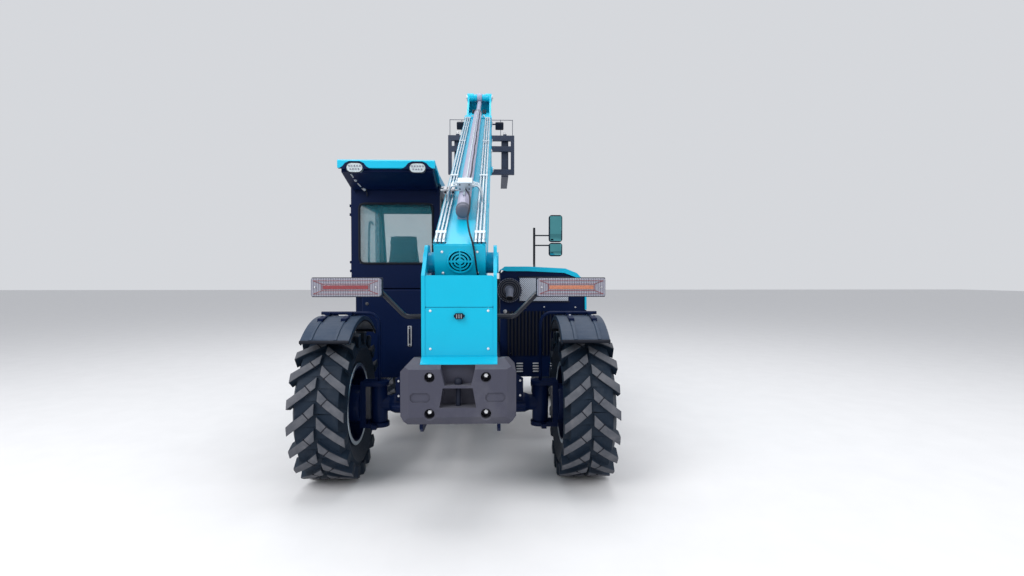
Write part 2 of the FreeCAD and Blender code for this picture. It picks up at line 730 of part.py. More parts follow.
def make_counterweight():
    """A cast weight round the foot of the tower, with a drawbar jaw."""
    back = PIVOT_X - D.weight_back
    tower_back = PIVOT_X - D.tower_back
    front = tower_back + D.weight_wing
    foot, top, crest, cut = D.weight_foot, D.weight_top, D.weight_crest, D.weight_chamfer
    body = new_body("weight_body")
    pad(body, "XZ_Plane", MID, D.weight_half * 2,
        [[(back + cut, foot), (front, foot), (front, top + 20), (tower_back - 12, crest),
          (tower_back - 40, crest), (back, top), (back, foot + cut)]])
    inner = D.frame_half
    pocket(body, "XY_Plane", 900, 1200,
           [[(tower_back - 9, MID - inner), (front + 10, MID - inner),
             (front + 10, MID + inner), (tower_back - 9, MID + inner)]])
    fillet(body, D.weight_bevel, near("z", (back, MID - D.weight_half),
                                      (back, MID + D.weight_half)), "Chamfer", "Size")
    shoulder, heel = D.weight_shoulder, D.weight_heel
    corners = []
    for sign in (1, -1):
        side, beyond = MID + D.weight_half * sign, MID + (D.weight_half + 5) * sign
        corners.append([(side, crest - shoulder), (beyond, crest - shoulder - 5),
                        (beyond, crest + 5), (side - shoulder * sign, crest + 5)])
        corners.append([(side, foot + heel), (beyond, foot + heel + 5), (beyond, foot - 5),
                        (side - heel * sign, foot - 5)])
    pocket(body, "YZ_Plane", (back + front) / 2, front - back + 20, corners)
    holes = []
    for y in (MID - D.weight_hole_y, MID + D.weight_hole_y):
        for z in (foot + D.weight_hole_low, foot + D.weight_hole_high):
            holes.append((y, z, D.weight_hole_radius))
    pocket(body, "YZ_Plane", back, D.hole_depth * 2, [], holes)
    low = foot + D.jaw_foot
    wide, slope = D.jaw_width / 2, D.jaw_slope
    pocket(body, "YZ_Plane", back, D.jaw_depth * 2,
           [[(MID - wide, low), (MID + wide, low), (MID + wide - slope, low + D.jaw_height),
             (MID - wide + slope, low + D.jaw_height)]])
    pocket(body, "XY_Plane", top, 700, [],
           [(back + D.tow_pin_back, MID, D.tow_pin_radius + 1)])
    wide, slope = D.scoop_width / 2, D.scoop_slope
    pocket(body, "YZ_Plane", back, D.scoop_depth * 2,
           [[(MID - wide, crest), (MID - wide, top), (MID - wide + slope, D.scoop_foot),
             (MID + wide - slope, D.scoop_foot), (MID + wide, top), (MID + wide, crest)]])
    for sign in (1, -1):
        y, z, r, half = MID + D.panel_y * sign, D.panel_z, D.panel_radius, D.panel_half
        pocket(body, "YZ_Plane", back, D.panel_depth * 2,
               [[(y - half - r * 0.4, z - r), (y + half + r * 0.4, z - r), (y + half + r, z - r * 0.4),
                 (y + half + r, z + r * 0.4), (y + half + r * 0.4, z + r),
                 (y - half - r * 0.4, z + r), (y - half - r, z + r * 0.4),
                 (y - half - r, z - r * 0.4)]])
    node(body, "counterweight")
    stem = bar("tow_stem", (back + D.tow_pin_back, MID, foot + 30), "z",
               D.scoop_foot - foot - 30, D.tow_pin_radius)
    cap = bar("tow_knob", (back + D.tow_pin_back, MID, D.scoop_foot + 0.2), "z", 22,
              D.tow_pin_radius * 1.7)
    node(joined("tow_pin", [stem, cap]), "tow_pin")


def on_boom(piece):
    """Turn a piece drawn along X about the pivot to the raised angle."""
    return place(piece, PIVOT_X, MID, PIVOT_Z, turn=D.boom_angle)


def box_beam(name, start, end, width, height, wall):
    """A square tube along X, open at its front end."""
    outer = block(name + "_outer", (start, end), (0 - width / 2, width / 2),
                  (0 - height / 2, height / 2))
    inner = block(name + "_hollow", (start - 1, end + 1),
                  (0 - width / 2 + wall, width / 2 - wall),
                  (0 - height / 2 + wall, height / 2 - wall))
    return lessened(name, outer, [inner])


def upper_point():
    """The upper pin of the lift cylinder, in the boom's own axes."""
    run = root(D.lug_arm * D.lug_arm - D.lug_drop * D.lug_drop)
    return run, 0 - D.lug_drop


def make_outer_boom():
    tail, reach = 0 - D.boom_tail, D.boom_reach
    beam = box_beam("boom_tube", tail, reach, D.boom_width, D.boom_height, D.boom_wall)
    parts = [beam]
    half, under = D.boom_width / 2, 0 - D.boom_height / 2
    for side, sign in (("left", 1), ("right", -1)):
        y = half if sign > 0 else 0 - half - D.tower_gap + 0.5
        parts.append(bar("boom_boss_" + side, (0, y, 0), "y", D.tower_gap - 0.5,
                         D.boss_radius))
        run, drop = upper_point()
        level = (D.ear_space / 2 + D.ear_wall / 2) * sign
        ear = new_body("boom_ear_" + side)
        pad(ear, "XZ_Plane", level, D.ear_wall,
            [[(run - D.ear_half - 60, under), (run - D.ear_half * 0.55, drop - 45),
              (run - 30, drop - D.eye_radius), (run + 60, drop - D.eye_radius),
              (run + D.ear_half, drop - 10), (run + D.ear_half + 60, under)]])
        parts.append(ear)
    collar = box_beam("boom_collar", reach - 160, reach, D.boom_width + 24,
                      D.boom_height + 24, 14)
    parts.append(collar)
    on_boom(node(joined("outer_boom", parts), "outer_boom"))


def make_tail_plate():
    """The bolted end plate of the boom, with a round grille of ring slots."""
    body = new_body("tail_plate_body")
    high = D.boom_height / 2
    wide = D.tail_plate_width / 2
    tail = 0 - D.boom_tail
    pad(body, "YZ_Plane", tail - D.tail_plate_wall / 2, D.tail_plate_wall,
        [[(0 - wide, 0 - high), (wide, 0 - high), (wide, high - 4), (0 - wide, high - 4)]])
    fillet(body, 22, near("x", (0 - wide, high - 4), (wide, high - 4)))
    rise = D.grille_rise
    tools = []
    for number in range(3):
        outer = D.grille_radius - D.grille_slot * 2 * number
        ring_outer = bar("grille_outer_%d" % number, (tail - D.tail_plate_wall - 1, 0, rise), "x",
                         D.tail_plate_wall + 2, outer)
        ring_inner = bar("grille_inner_%d" % number, (tail - D.tail_plate_wall - 2, 0, rise), "x",
                         D.tail_plate_wall + 4, outer - D.grille_slot)
        tools.append(lessened("grille_ring_%d" % number, ring_outer, [ring_inner]))
    slots = joined("grille_slots", tools)
    cross = [block("grille_bar_flat", (tail - 30, tail + 30), (-100, 100), (rise - 7, rise + 7)),
             block("grille_bar_tall", (tail - 30, tail + 30), (-5, 5), (rise - 100, rise + 100))]
    slots = lessened("grille_cuts", slots, cross)
    on_boom(node(lessened("boom_tail_plate", body, [slots]), "boom_tail_plate"))


def make_inner_boom():
    beam = box_beam("inner_tube", D.inner_start, INNER_END, D.inner_width,
                    D.inner_height, D.inner_wall)
    on_boom(node(copied("inner_boom", beam), "inner_boom"))
    pads = []
    inside = D.boom_width / 2 - D.boom_wall
    top = D.boom_height / 2 - D.boom_wall
    for name, x in (("front", D.boom_reach - 150), ("rear", D.boom_reach - 900)):
        outer = block("pad_outer_" + name, (x, x + 90), (0 - inside, inside), (0 - top, top))
        hole = block("pad_hole_" + name, (x - 1, x + 91),
                     (0 - D.inner_width / 2 - 0.5, D.inner_width / 2 + 0.5),
                     (0 - D.inner_height / 2 - 0.5, D.inner_height / 2 + 0.5))
        pads.append(lessened("pad_ring_" + name, outer, [hole]))
    on_boom(node(joined("wear_pads", pads), "wear_pads"))


def head_profile():
    """The drooping nose of the inner boom, in the boom's own axes."""
    end, drop, reach = INNER_END, D.head_drop, HEAD_AT
    high = D.inner_height / 2
    return [(end - 220, high), (CREST_AT - 130, D.head_crest - 40),
            (CREST_AT - 40, D.head_crest + 50),
            (CREST_AT + 60, D.head_crest + 30), (CREST_AT + 90, 60),
            (reach - 130, 0 - drop + 330), (reach + 90, 0 - drop + 60),
            (reach + 90, 0 - drop - 60), (reach + 30, 0 - drop - 92),
            (reach - 80, 0 - drop - 80), (reach - 330, 0 - drop + 240), (end - 60, -high),
            (end - 220, -high)]


def make_head():
    parts = []
    wall = D.head_wall
    for side, sign in (("left", 1), ("right", -1)):
        body = new_body("head_plate_" + side)
        pad(body, "XZ_Plane", (D.head_half + wall / 2) * sign, wall, [head_profile()])
        parts.append(body)
    half = D.head_half
    parts.append(bar("head_top_tube", (CREST_AT, 0 - D.top_pin_half, D.head_crest), "y",
                     D.top_pin_half * 2, D.top_pin_radius))
    start, reach = D.crest_boss_start, D.top_pin_half - D.crest_boss_start
    for side, y in (("left", start), ("right", 0 - start - reach)):
        parts.append(bar("head_crest_boss_" + side, (CREST_AT, y, D.head_crest), "y", reach,
                         D.crest_boss_radius))
    parts.append(block("head_front_web", (CREST_AT + 40, CREST_AT + 60),
                       (0 - half, half), (-60, D.head_crest - 60)))
    parts.append(bar("head_pin_tube", (HEAD_AT, 0 - half - wall - 20, 0 - D.head_drop),
                     "y", (half + wall + 20) * 2, D.head_pin_radius))
    base = tilt_base()
    for side, sign in (("left", 1), ("right", -1)):
        inner = 45 if sign > 0 else 0 - half
        parts.append(bar("head_tilt_boss_" + side, (base[0], inner, base[1]), "y",
                         half - 45, 40))
    parts.append(bar("head_tilt_pin", (base[0], -46, base[1]), "y", 92, D.tilt_pin_radius))
    on_boom(node(joined("boom_head", parts), "boom_head"))


def tilt_base():
    return HEAD_AT - D.tilt_base_back, 0 - D.head_drop + D.tilt_base_rise


def tilt_end():
    return (HEAD_AT + D.tilt_arm * cosine(D.tilt_arm_angle),
            0 - D.head_drop + D.tilt_arm * sine(D.tilt_arm_angle))


def make_cylinder(label, base, tip, eye, pin, barrel, rod, gland, rod_length, width):
    """A cylinder between two points of the boom's axes: barrel and rod."""
    run, rise = tip[0] - base[0], tip[1] - base[1]
    length = root(run * run + rise * rise)
    lean = direction_of(run, rise) + D.boom_angle
    at_x = PIVOT_X + base[0] * cosine(D.boom_angle) - base[1] * sine(D.boom_angle)
    at_z = PIVOT_Z + base[0] * sine(D.boom_angle) + base[1] * cosine(D.boom_angle)
    half = width / 2 - 0.5
    shell = bar(label + "_shell", (eye + 12, 0, 0), "x", gland - eye - 12, barrel)
    bore = bar(label + "_bore", (eye + 22, 0, 0), "x", gland, rod + 0.4)
    tube = lessened(label + "_tube", shell, [bore])
    eyes = [bar(label + "_foot_eye", (0, 0 - half, 0), "y", half * 2, eye),
            block(label + "_foot_neck", (0, eye + 14), (0 - half, half),
                  (0 - eye * 0.6, eye * 0.6))]
    neck = lessened(label + "_neck", joined(label + "_body", [tube] + eyes),
                    [bar(label + "_foot_hole", (0, 0 - half - 1, 0), "y", half * 2 + 2,
                         pin + D.running_gap)])
    place(node(copied(label + "_barrel", neck), label + "_barrel"), at_x, MID, at_z, turn=lean)
    stem = bar(label + "_stem", (length - rod_length, 0, 0), "x", rod_length, rod)
    end = bar(label + "_end_eye", (length, 0 - half, 0), "y", half * 2, eye)
    whole = joined(label + "_rod_form", [stem, end])
    place(node(whole, label + "_rod"), at_x, MID, at_z, turn=lean)


def foot_in_boom():
    """The lift cylinder's lower pin seen from the boom's own axes."""
    turn = 0 - D.foot_angle - D.boom_angle
    return D.lug_arm * cosine(turn), D.lug_arm * sine(turn)


def make_cylinders():
    make_cylinder("lift", foot_in_boom(), upper_point(), D.eye_radius, D.lift_pin_radius,
                  D.lift_barrel_radius, D.lift_rod_radius, D.lift_gland,
                  D.lift_rod_length, D.ear_space)
    make_cylinder("tilt", tilt_base(), tilt_end(), D.tilt_eye_radius, D.tilt_pin_radius,
                  D.tilt_barrel_radius, D.tilt_rod_radius, D.tilt_gland,
                  D.tilt_rod_length, size(88))


def make_ram():
    """The extension cylinder above the boom, its rod tied to the head."""
    level = D.boom_height / 2 + D.ram_rise
    shell = bar("ram_shell", (D.ram_start, 0, level), "x", RAM_END - D.ram_start,
                D.ram_radius)
    bore = bar("ram_bore", (D.ram_start + 60, 0, level), "x", RAM_END, D.ram_rod_radius + 0.4)
    tube = lessened("ram_tube", shell, [bore])
    feet = [block("ram_foot_%d" % number, (x, x + 60), (-42, 42),
                  (D.boom_height / 2, level - D.ram_radius * 0.8))
            for number, x in enumerate((D.ram_start + 30, RAM_END - 200))]
    on_boom(node(joined("ram_barrel", [tube] + feet), "ram_barrel"))
    end = CREST_AT - D.top_pin_radius - 0.4
    rod = bar("ram_stem", (D.ram_rod_start, 0, level), "x", end - D.ram_rod_start,
              D.ram_rod_radius)
    on_boom(node(copied("ram_rod", rod), "ram_rod"))
    valve = block("valve_block", (D.valve_at, D.valve_at + 130), (-58, 58),
                  (level + D.ram_radius + 0.2, level + D.ram_radius + 70))
    return valve


def make_pipes(valve):
    """Three hydraulic pipes along each top edge of the boom, and their valve."""
    top = D.boom_height / 2
    parts = [valve]
    for side, sign in (("left", 1), ("right", -1)):
        for number in range(3):
            y = (D.pipe_edge - D.pipe_pitch * number) * sign
            parts.append(slim("pipe_%s_%d" % (side, number),
                             (D.pipe_start, y, top + D.pipe_rise), "x",
                             PIPE_END - D.pipe_start, D.pipe_radius))
        outer = (D.pipe_edge + D.pipe_radius + 2) * sign
        inner = (D.pipe_edge - D.pipe_pitch * 2 - D.pipe_radius - 2) * sign
        low, high = (inner, outer) if sign > 0 else (outer, inner)
        for number in range(4):
            x = D.pipe_start + 60 + (PIPE_END - D.pipe_start - 160) * (number / 3)
            parts.append(block("clip_%s_%d" % (side, number), (x, x + 40), (low, high),
                               (top, top + D.pipe_rise + D.pipe_radius + 4)))
    on_boom(node(joined("boom_pipes", parts), "boom_pipes"))


def carriage_point():
    """The carriage pivot in the machine's axes."""
    turn = D.boom_angle
    return (PIVOT_X + HEAD_AT * cosine(turn) + D.head_drop * sine(turn),
            PIVOT_Z + HEAD_AT * sine(turn) - D.head_drop * cosine(turn))


def on_carriage(piece):
    x, z = carriage_point()
    return place(piece, x, MID, z)


def make_carriage():
    """The fork frame, drawn about its pivot with the forks level."""
    half, low, high = D.carriage_half, 0 - D.carriage_low, D.carriage_high
    back = D.carriage_gap
    front = back + D.carriage_depth
    tall = D.carriage_bar
    parts = []
    for number, z in enumerate((low, D.carriage_middle, high - tall)):
        parts.append(block("carriage_bar_%d" % number, (back, front), (0 - half, half),
                           (z, z + tall)))
    for side, y in (("left", half - D.post_width), ("right", 0 - half)):
        parts.append(block("carriage_post_" + side, (back, front), (y, y + D.post_width),
                           (low, high)))
    for side, sign in (("left", 1), ("right", -1)):
        body = new_body("carriage_lug_" + side)
        tip_x = D.tilt_arm * cosine(D.tilt_arm_angle + D.boom_angle)
        tip_z = D.tilt_arm * sine(D.tilt_arm_angle + D.boom_angle)
        pad(body, "XZ_Plane", (45 + 12) * sign, 22,
            [[(-85, -50), (-50, -85), (back, 0 - D.carriage_low), (back, D.carriage_middle + 40),
              (tip_x + 50, tip_z + 60), (tip_x - 60, tip_z + 60), (tip_x - 70, tip_z - 30),
              (-85, 50)]], [(0, 0, D.head_pin_radius + 0.4)])
        parts.append(body)
    on_carriage(node(joined("carriage", parts), "carriage"))
    wires = []
    r = D.wire_radius
    top = high + D.guard_height
    x = back + D.carriage_depth / 2
    for side, y in (("left", half - 30), ("right", 30 - half)):
        wires.append(slim("guard_end_" + side, (x, y, high), "z", D.guard_height, r))
        y_mid = y * 0.62
        wires.append(slim("guard_mid_" + side, (x, y_mid, high), "z", D.guard_height, r))
    wires.append(slim("guard_top", (x, 30 - half - r, top - r), "y", (half - 30 + r) * 2, r))
    on_carriage(node(joined("load_guard", wires), "load_guard"))


def make_forks():
    """Two forks with forged heels and tapered blades."""
    back = D.carriage_gap + D.carriage_depth + 0.3
    wall, low = D.fork_wall, 0 - D.fork_drop
    pair = []
    for side, sign in (("left", 1), ("right", -1)):
        body = new_body("fork_body_" + side)
        high = D.carriage_high - 40
        pad(body, "XZ_Plane", D.fork_spread * sign, D.fork_width,
            [[(back, high), (back, low - wall), (back + wall + D.fork_length, low - wall),
              (back + wall + D.fork_length, low - wall + D.fork_tip),
              (back + wall + D.fork_length * 0.45, low), (back + wall, low),
              (back + wall, high)]])
        fillet(body, 40, near("y", (back, low - wall)))
        pair.append(body)
    on_carriage(node(joined("forks", pair), "forks"))


def make_cab():
    back, low_back, front, nose = (REAR + D.cab_back, REAR + D.cab_low_back,
                                   REAR + D.cab_front, REAR + D.cab_nose)
    right, left, wall = D.cab_right, D.cab_left, D.cab_wall
    foot, knee, top, sill = D.cab_foot, D.cab_knee, D.cab_top, D.sill
    screen = REAR + D.screen_top_x
    middle, wide = (right + left) / 2, left - right
    body = new_body("cab_body")
    pad(body, "XZ_Plane", middle, wide,
        [[(low_back, foot), (front, foot), (front, knee), (nose, knee + 40), (screen, top),
          (back, top), (back, knee + 80), (low_back, knee)]])
    pocket(body, "XZ_Plane", middle, wide - wall * 2,
           [[(low_back + wall, foot + wall), (front - wall, foot + wall),
             (front - wall, knee + 40), (nose - wall - 14, knee + 40 + wall),
             (screen - wall, top - wall), (back + wall, top - wall),
             (back + wall, knee + 80 + wall), (low_back + wall, knee + 30)]])
    pocket(body, "YZ_Plane", back, wall * 3,
           [[(right + 70, sill), (left - 80, sill), (left - 80, top - D.window_top),
             (right + 70, top - D.window_top)]])
    pocket(body, "YZ_Plane", nose, 640,
           [[(right + 60, knee + 120), (left - 60, knee + 120), (left - 60, top - 80),
             (right + 60, top - 80)]])
    pocket(body, "XZ_Plane", right, wall * 3,
           [[(back + 90, sill - 60), (nose - 150, sill - 200), (screen - 75, top - 80),
             (back + 90, top - 80)]])
    pocket(body, "XZ_Plane", left, wall * 3, [door_outline(0)])
    lugs = []
    x, y, r = REAR + D.door_back, left + D.door_pin_out, D.door_pin_radius
    for number, z in enumerate((D.cab_knee + 260, D.cab_top - 260)):
        for part, low in (("under", z - 25.5), ("over", z + 60.5)):
            lugs.append(bar("hinge_%s_%d" % (part, number), (x, y, low), "z", 25, r))
            lugs.append(block("hinge_leaf_%s_%d" % (part, number), (x - 60, x), (left, y + r - 4),
                              (low, low + 25)))
    node(joined("cab_frame", [body] + lugs), "cab_frame")


def door_outline(gap):
    """The door's outer edge, or its opening with a gap of nothing."""
    back, front = REAR + D.door_back + gap, REAR + D.door_front - gap
    foot, knee, top = D.door_foot + gap, D.cab_knee, D.cab_top - 70 - gap
    rear_low = REAR + D.cab_low_back + 90 + gap
    return [(rear_low, foot), (front, foot), (front, knee + 120), (front, top), (back, top),
            (back, knee + 160), (rear_low, knee + 60)]


def make_door():
    gap, left = D.door_gap, D.cab_left
    body = new_body("door_body")
    level = left - D.door_wall / 2
    pad(body, "XZ_Plane", level, D.door_wall, [door_outline(gap)])
    rail = D.door_bar
    back, front = REAR + D.door_back + gap + rail, REAR + D.door_front - gap - rail
    top = D.cab_top - 70 - gap - rail
    pocket(body, "XZ_Plane", level, D.door_wall * 3,
           [[(back, D.sill), (front, D.sill), (front, top), (back, top)]])
    low = D.door_foot + gap + rail
    pocket(body, "XZ_Plane", level, D.door_wall * 3,
           [[(REAR + D.cab_low_back + 90 + gap + rail, low), (front, low),
             (front, D.sill - rail), (REAR + D.cab_low_back + 90 + gap + rail, D.sill - rail)]])
    knuckles = []
    x, y = REAR + D.door_back, left + D.door_pin_out
    for number, z in enumerate((D.cab_knee + 260, D.cab_top - 260)):
        knuckles.append(bar("door_knuckle_%d" % number, (x, y, z), "z", 60, D.door_pin_radius))
        knuckles.append(block("door_strap_%d" % number, (x, x + 90),
                              (left, y + D.door_pin_radius - 4), (z, z + 60)))
    node(joined("door_frame", [body] + knuckles), "door_frame")
    panes = []
    lap, thick = D.pane_lap, D.pane
    inner = left - D.door_wall
    panes.append(block("door_pane_high", (back - lap, front + lap), (inner - thick, inner),
                       (D.sill - lap, top + lap)))
    panes.append(block("door_pane_low",
                       (REAR + D.cab_low_back + 90 + gap + rail - lap, front + lap),
                       (inner - thick, inner), (low - lap, D.sill - rail + lap)))
    node(joined("door_glass", panes), "door_glass")


def make_cab_glass():
    back, nose = REAR + D.cab_back, REAR + D.cab_nose
    right, left, wall = D.cab_right, D.cab_left, D.cab_wall
    screen = REAR + D.screen_top_x
    lap, thick = D.pane_lap, D.pane
    knee, top, sill = D.cab_knee, D.cab_top, D.sill
    rear = block("rear_pane", (back + wall, back + wall + thick),
                 (right + 70 - lap, left - 80 + lap), (sill - lap, top - D.window_top + lap))
    side = new_body("side_pane")
    pad(side, "XZ_Plane", right + wall + thick / 2, thick,
        [[(back + 90 - lap, sill - 60 - lap), (nose - 150 - lap, sill - 200 - lap),
          (screen - 75 - lap, top - 80 + lap), (back + 90 - lap, top - 80 + lap)]])
    front = new_body("front_pane")
    # the screen leans with the cab's nose, just behind the front frame
    a_x, a_z = screen - wall - 2, top - wall - 14
    b_x, b_z = nose - wall - 26, knee + 40 + wall + 14
    pad(front, "XZ_Plane", (right + left) / 2, left - right - wall * 2,
        [[(a_x, a_z), (b_x, b_z), (b_x - thick, b_z), (a_x - thick, a_z)]])
    node(joined("cab_glass", [rear, side, front]), "cab_glass")


def make_roof():
    """The roof shell with its rear band, the liner and the roof's lamps."""
    tail, front = REAR + D.roof_tail, REAR + D.roof_front
    back, top = REAR + D.cab_back, D.cab_top
    middle, width = (D.cab_right + D.cab_left) / 2, D.cab_left - D.cab_right
    crest, wall, band = top + D.roof_rise, D.roof_wall, tail + D.band_wall
    inner = top + D.visor_top - wall
    body = new_body("roof_body")
    pad(body, "XZ_Plane", middle, width,
        [[(tail, top + D.roof_band), (band, top + D.roof_band), (band, inner),
          (back - 80, crest - wall + 8), (back, top + 30), (front - 60, top + 30),
          (front, top + 50), (front - 40, top + 76), (front - 120, crest), (back - 60, crest + 8),
          (tail + 12, top + D.visor_top), (tail, top + D.visor_top - 12)]])
    lamps = []
    notches = []
    level = top + D.work_lamp_rise
    half, radius, gap = D.lens_half, D.lens_radius, D.lens_gap
    for side, sign in (("left", 1), ("right", -1)):
        y = D.work_lamp_y + D.work_lamp_half * sign
        for name, start, long, grown, keep in (
                ("notch", tail - 10, D.band_wall + 10, radius + gap, notches),
                ("lamp", tail + 4, D.band_wall - 4, radius, lamps)):
            parts = [bar("%s_end_%s_%d" % (name, side, number), (start, y + shift, level), "x",
                         long, grown) for number, shift in enumerate((-half, half))]
            parts.append(block("%s_middle_%s" % (name, side), (start, start + long),
                               (y - half, y + half), (level - grown, level + grown)))
            keep += parts
    node(lessened("cab_roof", body, [joined("roof_notches", notches)]), "cab_roof")
    beacon_x, beacon_y = back + 60, D.cab_right + 90
    lamps.append(bar("beacon_dome", (beacon_x, beacon_y, crest + 14), "z", D.beacon_height,
                     D.beacon_radius))
    lamps.append(bar("beacon_foot", (beacon_x, beacon_y, crest + 8.1), "z", 18,
                     D.beacon_radius + 6))
    node(joined("roof_lamps", lamps), "roof_lamps")
    liner = new_body("liner_body")
    pad(liner, "XZ_Plane", middle, width - 40,
        [[(back, top), (front - 90, top), (front - 60, top + 30), (back, top + 30),
          (back - 80, crest - wall + 8), (band, inner), (band, top + 58), (back - 60, top - 40),
          (back, top - 40)]])
    node(liner, "roof_liner")


def make_seat():
    x, y, z = REAR + D.seat_x, D.seat_y, D.seat_height
    half, deep, thick = D.seat_width / 2, D.seat_depth, D.cushion_thick
    floor = D.cab_foot + D.cab_wall
    base = block("seat_box", (x + 30, x + deep - 40), (y - half + 60, y + half - 60),
                 (floor, z - thick))
    node(block("seat_cushion", (x + 95.3, x + 95 + deep), (y - half, y + half),
               (z - thick + 0.3, z)), "seat_cushion")
    body = new_body("back_body")
    pad(body, "XZ_Plane", y, D.back_width,
        [[(x + 95, z - thick + 20), (x - 15, z - thick + 20),
          (x - 95, z + D.back_height - 60), (x - 70, z + D.back_height),
          (x - 10, z + D.back_height), (x + 10, z + D.back_height - 60)]])
    top, slope = z + D.back_height + 5, z + D.back_height * 0.35
    wide = D.back_width / 2
    pocket(body, "YZ_Plane", x, 400,
           [[(y + wide + 5, slope), (y + wide + 5, top), (y + wide * 0.66, top)],
            [(y - wide - 5, slope), (y - wide * 0.66, top), (y - wide - 5, top)]])
    node(body, "seat_back")
    return base


def make_controls(base):
    """Dash, column and steering wheel, with the seat's box."""
    x, y, z = REAR + D.wheel_x, D.seat_y, D.wheel_z
    floor = D.cab_foot + D.cab_wall
    front = REAR + D.cab_front - D.cab_wall
    dash = new_body("dash_body")
    pad(dash, "XZ_Plane", y, 420,
        [[(front - 130, floor), (front - 0.3, floor), (front - 0.3, 1470), (front - 60, 1560),
          (front - 150, 1500)]])
    hub = turned("wheel_hub", [(-30, 0), (-30, 34), (22, 42), (22, 0)])
    grip, ring_radius = D.wheel_rim, D.wheel_radius - D.wheel_rim
    rim = turned("wheel_ring", [
        (grip, ring_radius - grip / 2), (grip, ring_radius + grip / 2),
        (0, ring_radius + grip), (-grip, ring_radius + grip / 2),
        (-grip, ring_radius - grip / 2), (0, ring_radius - grip)])
    spokes = [block("wheel_spoke_flat", (0 - D.wheel_radius + 20, D.wheel_radius - 20),
                    (-7, 7), (-16, 16)),
              block("wheel_spoke_low", (-16, 16), (-7, 7), (0 - D.wheel_radius + 20, 0))]
    wheel = joined("steering_wheel", [hub, rim] + spokes)
    # the wheel is drawn about Y and then leaned so its axis rises to the driver
    lean = D.column_tilt.value
    up = Vector(-math.sin(math.radians(lean)), 0, math.cos(math.radians(lean)))
    spin = Rotation(Vector(0, 1, 0), up)
    wheel.Placement = Placement(Vector(x.value, y.value, z.value), spin)
    for letter, value in zip("xyz", (x, y, z)):
        wheel.setExpression("Placement.Base." + letter, value.text)
    node(wheel, "steering_wheel")
    start = Vector(x.value, y.value, z.value) - up * 30.5
    foot = start - up * 300
    column = feature("column_bar", Part.makeCylinder(28, 300, foot, up))
    node(joined("cab_fittings", [base, dash, column]), "cab_fittings")


def bay_arch(inset, fall=None):
    """The bonnet's curve from its hinge to its outer edge, drawn in and lowered."""
    inner, outer = D.bay_inner - inset, D.bay_outer + inset
    crest, seam = D.bay_top - (inset if fall is None else fall), D.bay_seam
    middle = D.bay_inner - D.bay_flat
    curve = []
    for turn in (90, 66, 46, 30, 16, 5):
        across, rise = root(cosine(turn) + 0.0001), root(sine(turn))
        curve.append((middle + (outer - middle) * across, seam + (crest - seam) * rise))
    return [(inner, D.bay_top - D.hinge_drop + D.hinge_radius + D.lid_gap),
            (inner - 45, crest)] + curve + [(outer, seam)]


